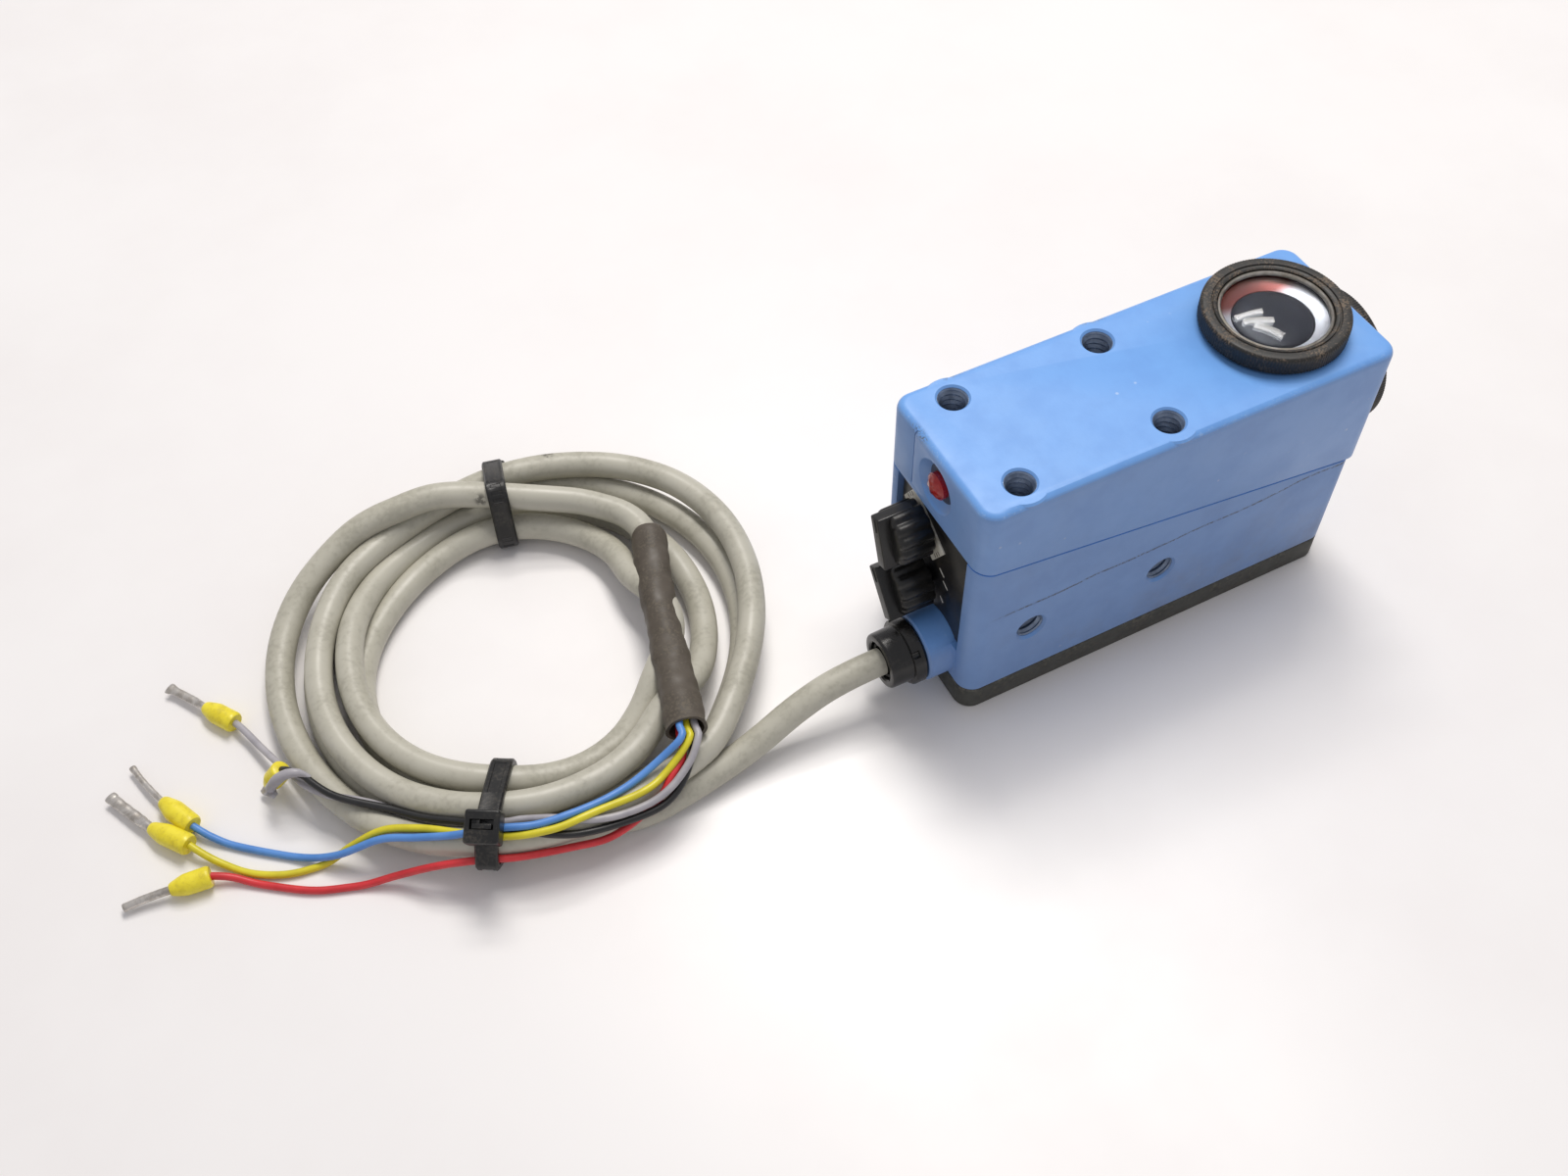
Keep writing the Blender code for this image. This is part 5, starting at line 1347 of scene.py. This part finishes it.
    def collar(self, core: Core) -> Surface:
        """Return the plastic collar: a short funnel, slightly squashed, drawn in to the barrel."""
        start, shoulder, _ = (np.array(place, float) for place in core.ferrule)
        path = np.linspace(start, shoulder, 24)
        run = np.linspace(0, 1, 24)
        radius = np.interp(run, [0, 0.03, 0.08, 0.62, 0.72, 0.95, 1.0], [1.62, 1.80, 1.86, 1.82, 1.66, 1.18, 0.95])
        return swept(path, radius, 36, 1.04, 0.97)

    def barrel(self, core: Core) -> Surface:
        """Return the crimped barrel: flattened, ribbed where the crimping jaws closed, flared or bent at its end.

        Args:
            core: the wire that it ends.

        Returns:
            A closed tube.
        """
        _, shoulder, tip = (np.array(place, float) for place in core.ferrule)
        run = np.linspace(0, 1, 60)
        along = tip - shoulder
        side = np.cross(along, (0, 0, 1))
        side /= np.linalg.norm(side)
        path = shoulder + along * run[:, None] + side * (core.bend * run ** 2)[:, None]
        path[:, 2] = np.maximum(path[:, 2], 0.75)
        crimp = 1 - core.crimp * (0.5 - 0.5 * np.cos(run * 2 * math.pi * 5)) * (run > 0.12) * (run < 0.9)
        end = np.interp(run, [0, 0.8, 1], [1, 1, core.flare])
        press = np.interp(run, [0, 0.1, 0.25, 1], [1, 1, core.flat, core.flat])
        radius = core.thick * crimp * np.interp(run, [0, 0.97, 1], [1, 1, 0.9])
        return swept(path, radius, 24, end * (1 + 0.55 * (1 - press)), press)

    def stub(self, points: np.ndarray) -> Surface:
        """Return the hooked conductor that was cut off, with a ragged end."""
        run = np.linspace(0, 1, len(points))
        radius = np.interp(run, [0, 0.2, 0.4, 1], [0.4, 0.7, 0.95, 0.9]) - 0.05 * np.sin(run * 19)
        radius[-1] *= 0.7
        return swept(points, radius, 16)

    def tie(self, place: TiePlace, strands: list) -> bpy.types.Object:
        """Build a cable tie drawn tight: its band is the outline of all the cords it holds, as seen along them.

        In each direction n the outline reaches the cord whose centre lies furthest along n, plus its radius.

        Args:
            place: where the tie is.
            strands: the settled cords.

        Returns:
            The tie.
        """
        out, along = place.axes()
        centre = np.array(place.centre)
        spots = []
        for strand in strands:
            offset = strand.points[:, :2] - centre
            gap, reach = offset @ along, offset @ out
            cross = np.nonzero((gap[:-1] * gap[1:] <= 0) & (reach[:-1] > 5))[0]
            share = gap[cross] / (gap[cross] - gap[cross + 1] + 1e-9)
            where = strand.points[cross] + share[:, None] * (strand.points[cross + 1] - strand.points[cross])
            spots += [((where[k, :2] - centre) @ out, where[k, 2], strand.radius) for k in range(len(cross))]
        held = np.array(spots)
        LOG.info("%s holds %d cords from %.1f to %.1f mm out", place.name,
                 len(held), held[:, 0].min(), held[:, 0].max())
        turn = np.linspace(0, 2 * math.pi, 240, endpoint=False)
        normal = np.stack([np.cos(turn), np.sin(turn)], -1)
        far = np.argmax(held[:, :2] @ normal.T + held[:, 2:3], axis=0)
        inner = held[far, :2] + (held[far, 2:3] + 0.04) * normal
        inner[:, 1] = np.maximum(inner[:, 1], place.thick + 0.02)
        half, thick = place.width / 2, place.thick
        section = [(-half, 0.05), (-half + 0.15, 0.0), (half - 0.15, 0.0), (half, 0.05), (half, thick - 0.3),
                   (half - 0.3, thick), (half - 0.9, thick), (half - 1.0, thick - 0.12), (-half + 1.0, thick - 0.12),
                   (-half + 0.9, thick), (-half + 0.3, thick), (-half, thick - 0.3)]
        rings = []
        ridge = 0.10 * (0.5 + 0.5 * np.sign(np.sin(np.cumsum(np.linalg.norm(np.gradient(inner, axis=0), axis=1)) * 6)))
        for across, depth in section[::-1]:
            serrated = ridge if abs(across) < half - 0.95 and depth > 0.5 else 0
            flat = inner + normal * (depth + np.asarray(serrated))[..., None] if depth else inner
            rings.append(np.concatenate([centre + flat[:, :1] * out + across * along, flat[:, 1:]], axis=1))
        band = skin(np.stack(rings, 1), closed=True)
        band_piece = mesh_object(f"{place.name}_strap", band, 50)
        head, slot, pawl, strap = self.tie_head(place, inner, normal)
        carve(band_piece, [head], "UNION")
        carve(band_piece, [slot])
        carve(band_piece, [pawl, strap], "UNION")
        return self.keep(band_piece, Finishes.TIE, "tie_nylon", stands_for=(place.node,))

    def tie_head(self, place: TiePlace, inner: np.ndarray, normal: np.ndarray) -> tuple:
        """Return the tie's lock head, the slot to cut in it, its pawl and the cut strap end inside.

        Args:
            place: where the tie is.
            inner: the band's inner outline, out and up.
            normal: the outline's outward directions.

        Returns:
            Head, slot, pawl and strap end.
        """
        out, along = place.axes()
        index = int(round(place.head / 360 * len(inner))) % len(inner)
        spot = inner[index] + normal[index] * (place.thick + 0.6)
        face = np.array([out[0] * normal[index, 0], out[1] * normal[index, 0], normal[index, 1]])
        run = np.array([along[0], along[1], 0.0])
        cross = np.cross(face, run)
        frame_now = np.eye(4)
        frame_now[:3, 0], frame_now[:3, 1], frame_now[:3, 2] = run, cross, face
        frame_now[:3, 3] = (*(np.array(place.centre) + spot[0] * out), spot[1])
        stand = Matrix(frame_now.tolist())
        if np.linalg.det(frame_now[:3, :3]) < 0:
            raise ValueError("the tie head's frame is left-handed")
        head = rounded_box((2.9 * place.size, 2.8 * place.size, 2.1 * place.size), 0.5, stand)
        slot = rounded_box((1.95 * place.size, 0.85, 1.4), 0.1, stand @ Matrix.Translation((0, 0.35, 2.1)), 3)
        pawl = rounded_box((0.28, 0.75, 0.75), 0.1, stand @ Matrix.Translation((-0.6, 0.35, 1.2)), 3)
        strap = rounded_box((1.6, 0.42, 1.0), 0.1, stand @ Matrix.Translation((0, 0.05, 1.0)), 3)
        return head, slot, pawl, strap


# ---------------------------------------------------------------- stage

@dataclass
class Stage:
    """Pale table, soft studio light and the camera."""

    eye: tuple = (-129.22, -137.07, 237.81)
    right: tuple = (0.891592, -0.452519, -0.017053)
    down: tuple = (-0.370768, -0.707862, -0.601218)
    ahead: tuple = (0.259991, 0.542364, -0.798903)
    lens: float = 36.0

    def build(self) -> None:
        """Set up the table, lights and camera."""
        self.table()
        self.lights()
        self.camera()

    def table(self) -> None:
        """Lay a large smooth white laminate table."""
        mesh = bpy.data.meshes.new("table")
        mesh.from_pydata([(-3, -3, 0), (3, -3, 0), (3, 3, 0), (-3, 3, 0)], [], [(0, 1, 2, 3)])
        table = bpy.data.objects.new("table", mesh)
        bpy.context.scene.collection.objects.link(table)
        finish = Finish("white_laminate_table", "#F1EFEE", "#ECE9E8", 0.35, 0.1, grain=3.0, relief=0.004, patch=90.0)
        mesh.materials.append(finish.make())

    def lights(self) -> None:
        """Hang three broad tubes high behind the sensor, in a pale room, and show colours as they are."""
        world = bpy.data.worlds.new("pale_room")
        bpy.context.scene.world = world
        world.use_nodes = True
        world.node_tree.nodes["Background"].inputs["Color"].default_value = linear("#FBFAFF")
        world.node_tree.nodes["Background"].inputs["Strength"].default_value = 0.5
        bpy.context.scene.view_settings.view_transform = "Standard"
        for name, y in (("tube_1", 0.16), ("tube_2", 0.38), ("tube_3", 0.60)):
            spot = (0.2, y, 0.9)
            lamp = bpy.data.lights.new(name, "AREA")
            lamp.shape = "RECTANGLE"
            lamp.size, lamp.size_y = 0.4, 0.11
            lamp.energy = 2.4
            lamp.color = linear("#FFFBF6")[:3]
            obj = bpy.data.objects.new(name, lamp)
            obj.location = spot
            aim = Vector((-0.05, 0.02, 0.02)) - Vector(spot)
            obj.rotation_euler = aim.to_track_quat("-Z", "Y").to_euler()
            bpy.context.scene.collection.objects.link(obj)

    def camera(self) -> None:
        """Stand the camera over the table, looking down at the sensor and its coil."""
        data = bpy.data.cameras.new("camera")
        data.sensor_width = 36.0
        data.sensor_fit = "HORIZONTAL"
        data.lens = self.lens
        data.clip_start = 0.01
        obj = bpy.data.objects.new("camera", data)
        turn = np.array([self.right, [-v for v in self.down], [-v for v in self.ahead]]).T
        place = np.eye(4)
        place[:3, :3] = turn
        place[:3, 3] = np.array(self.eye) * MM
        obj.matrix_world = Matrix(place.tolist())
        bpy.context.scene.collection.objects.link(obj)
        bpy.context.scene.camera = obj


def main() -> None:
    """Build the sensor, its lead and the stage."""
    logging.basicConfig(level=logging.INFO, format="%(message)s")
    Lead().build()
    Housing().build()
    LensUnit().build()
    BlankCap().build()
    EndPanel().build()
    Innards().build()
    Stage().build()


if __name__ == "__main__":
    main()
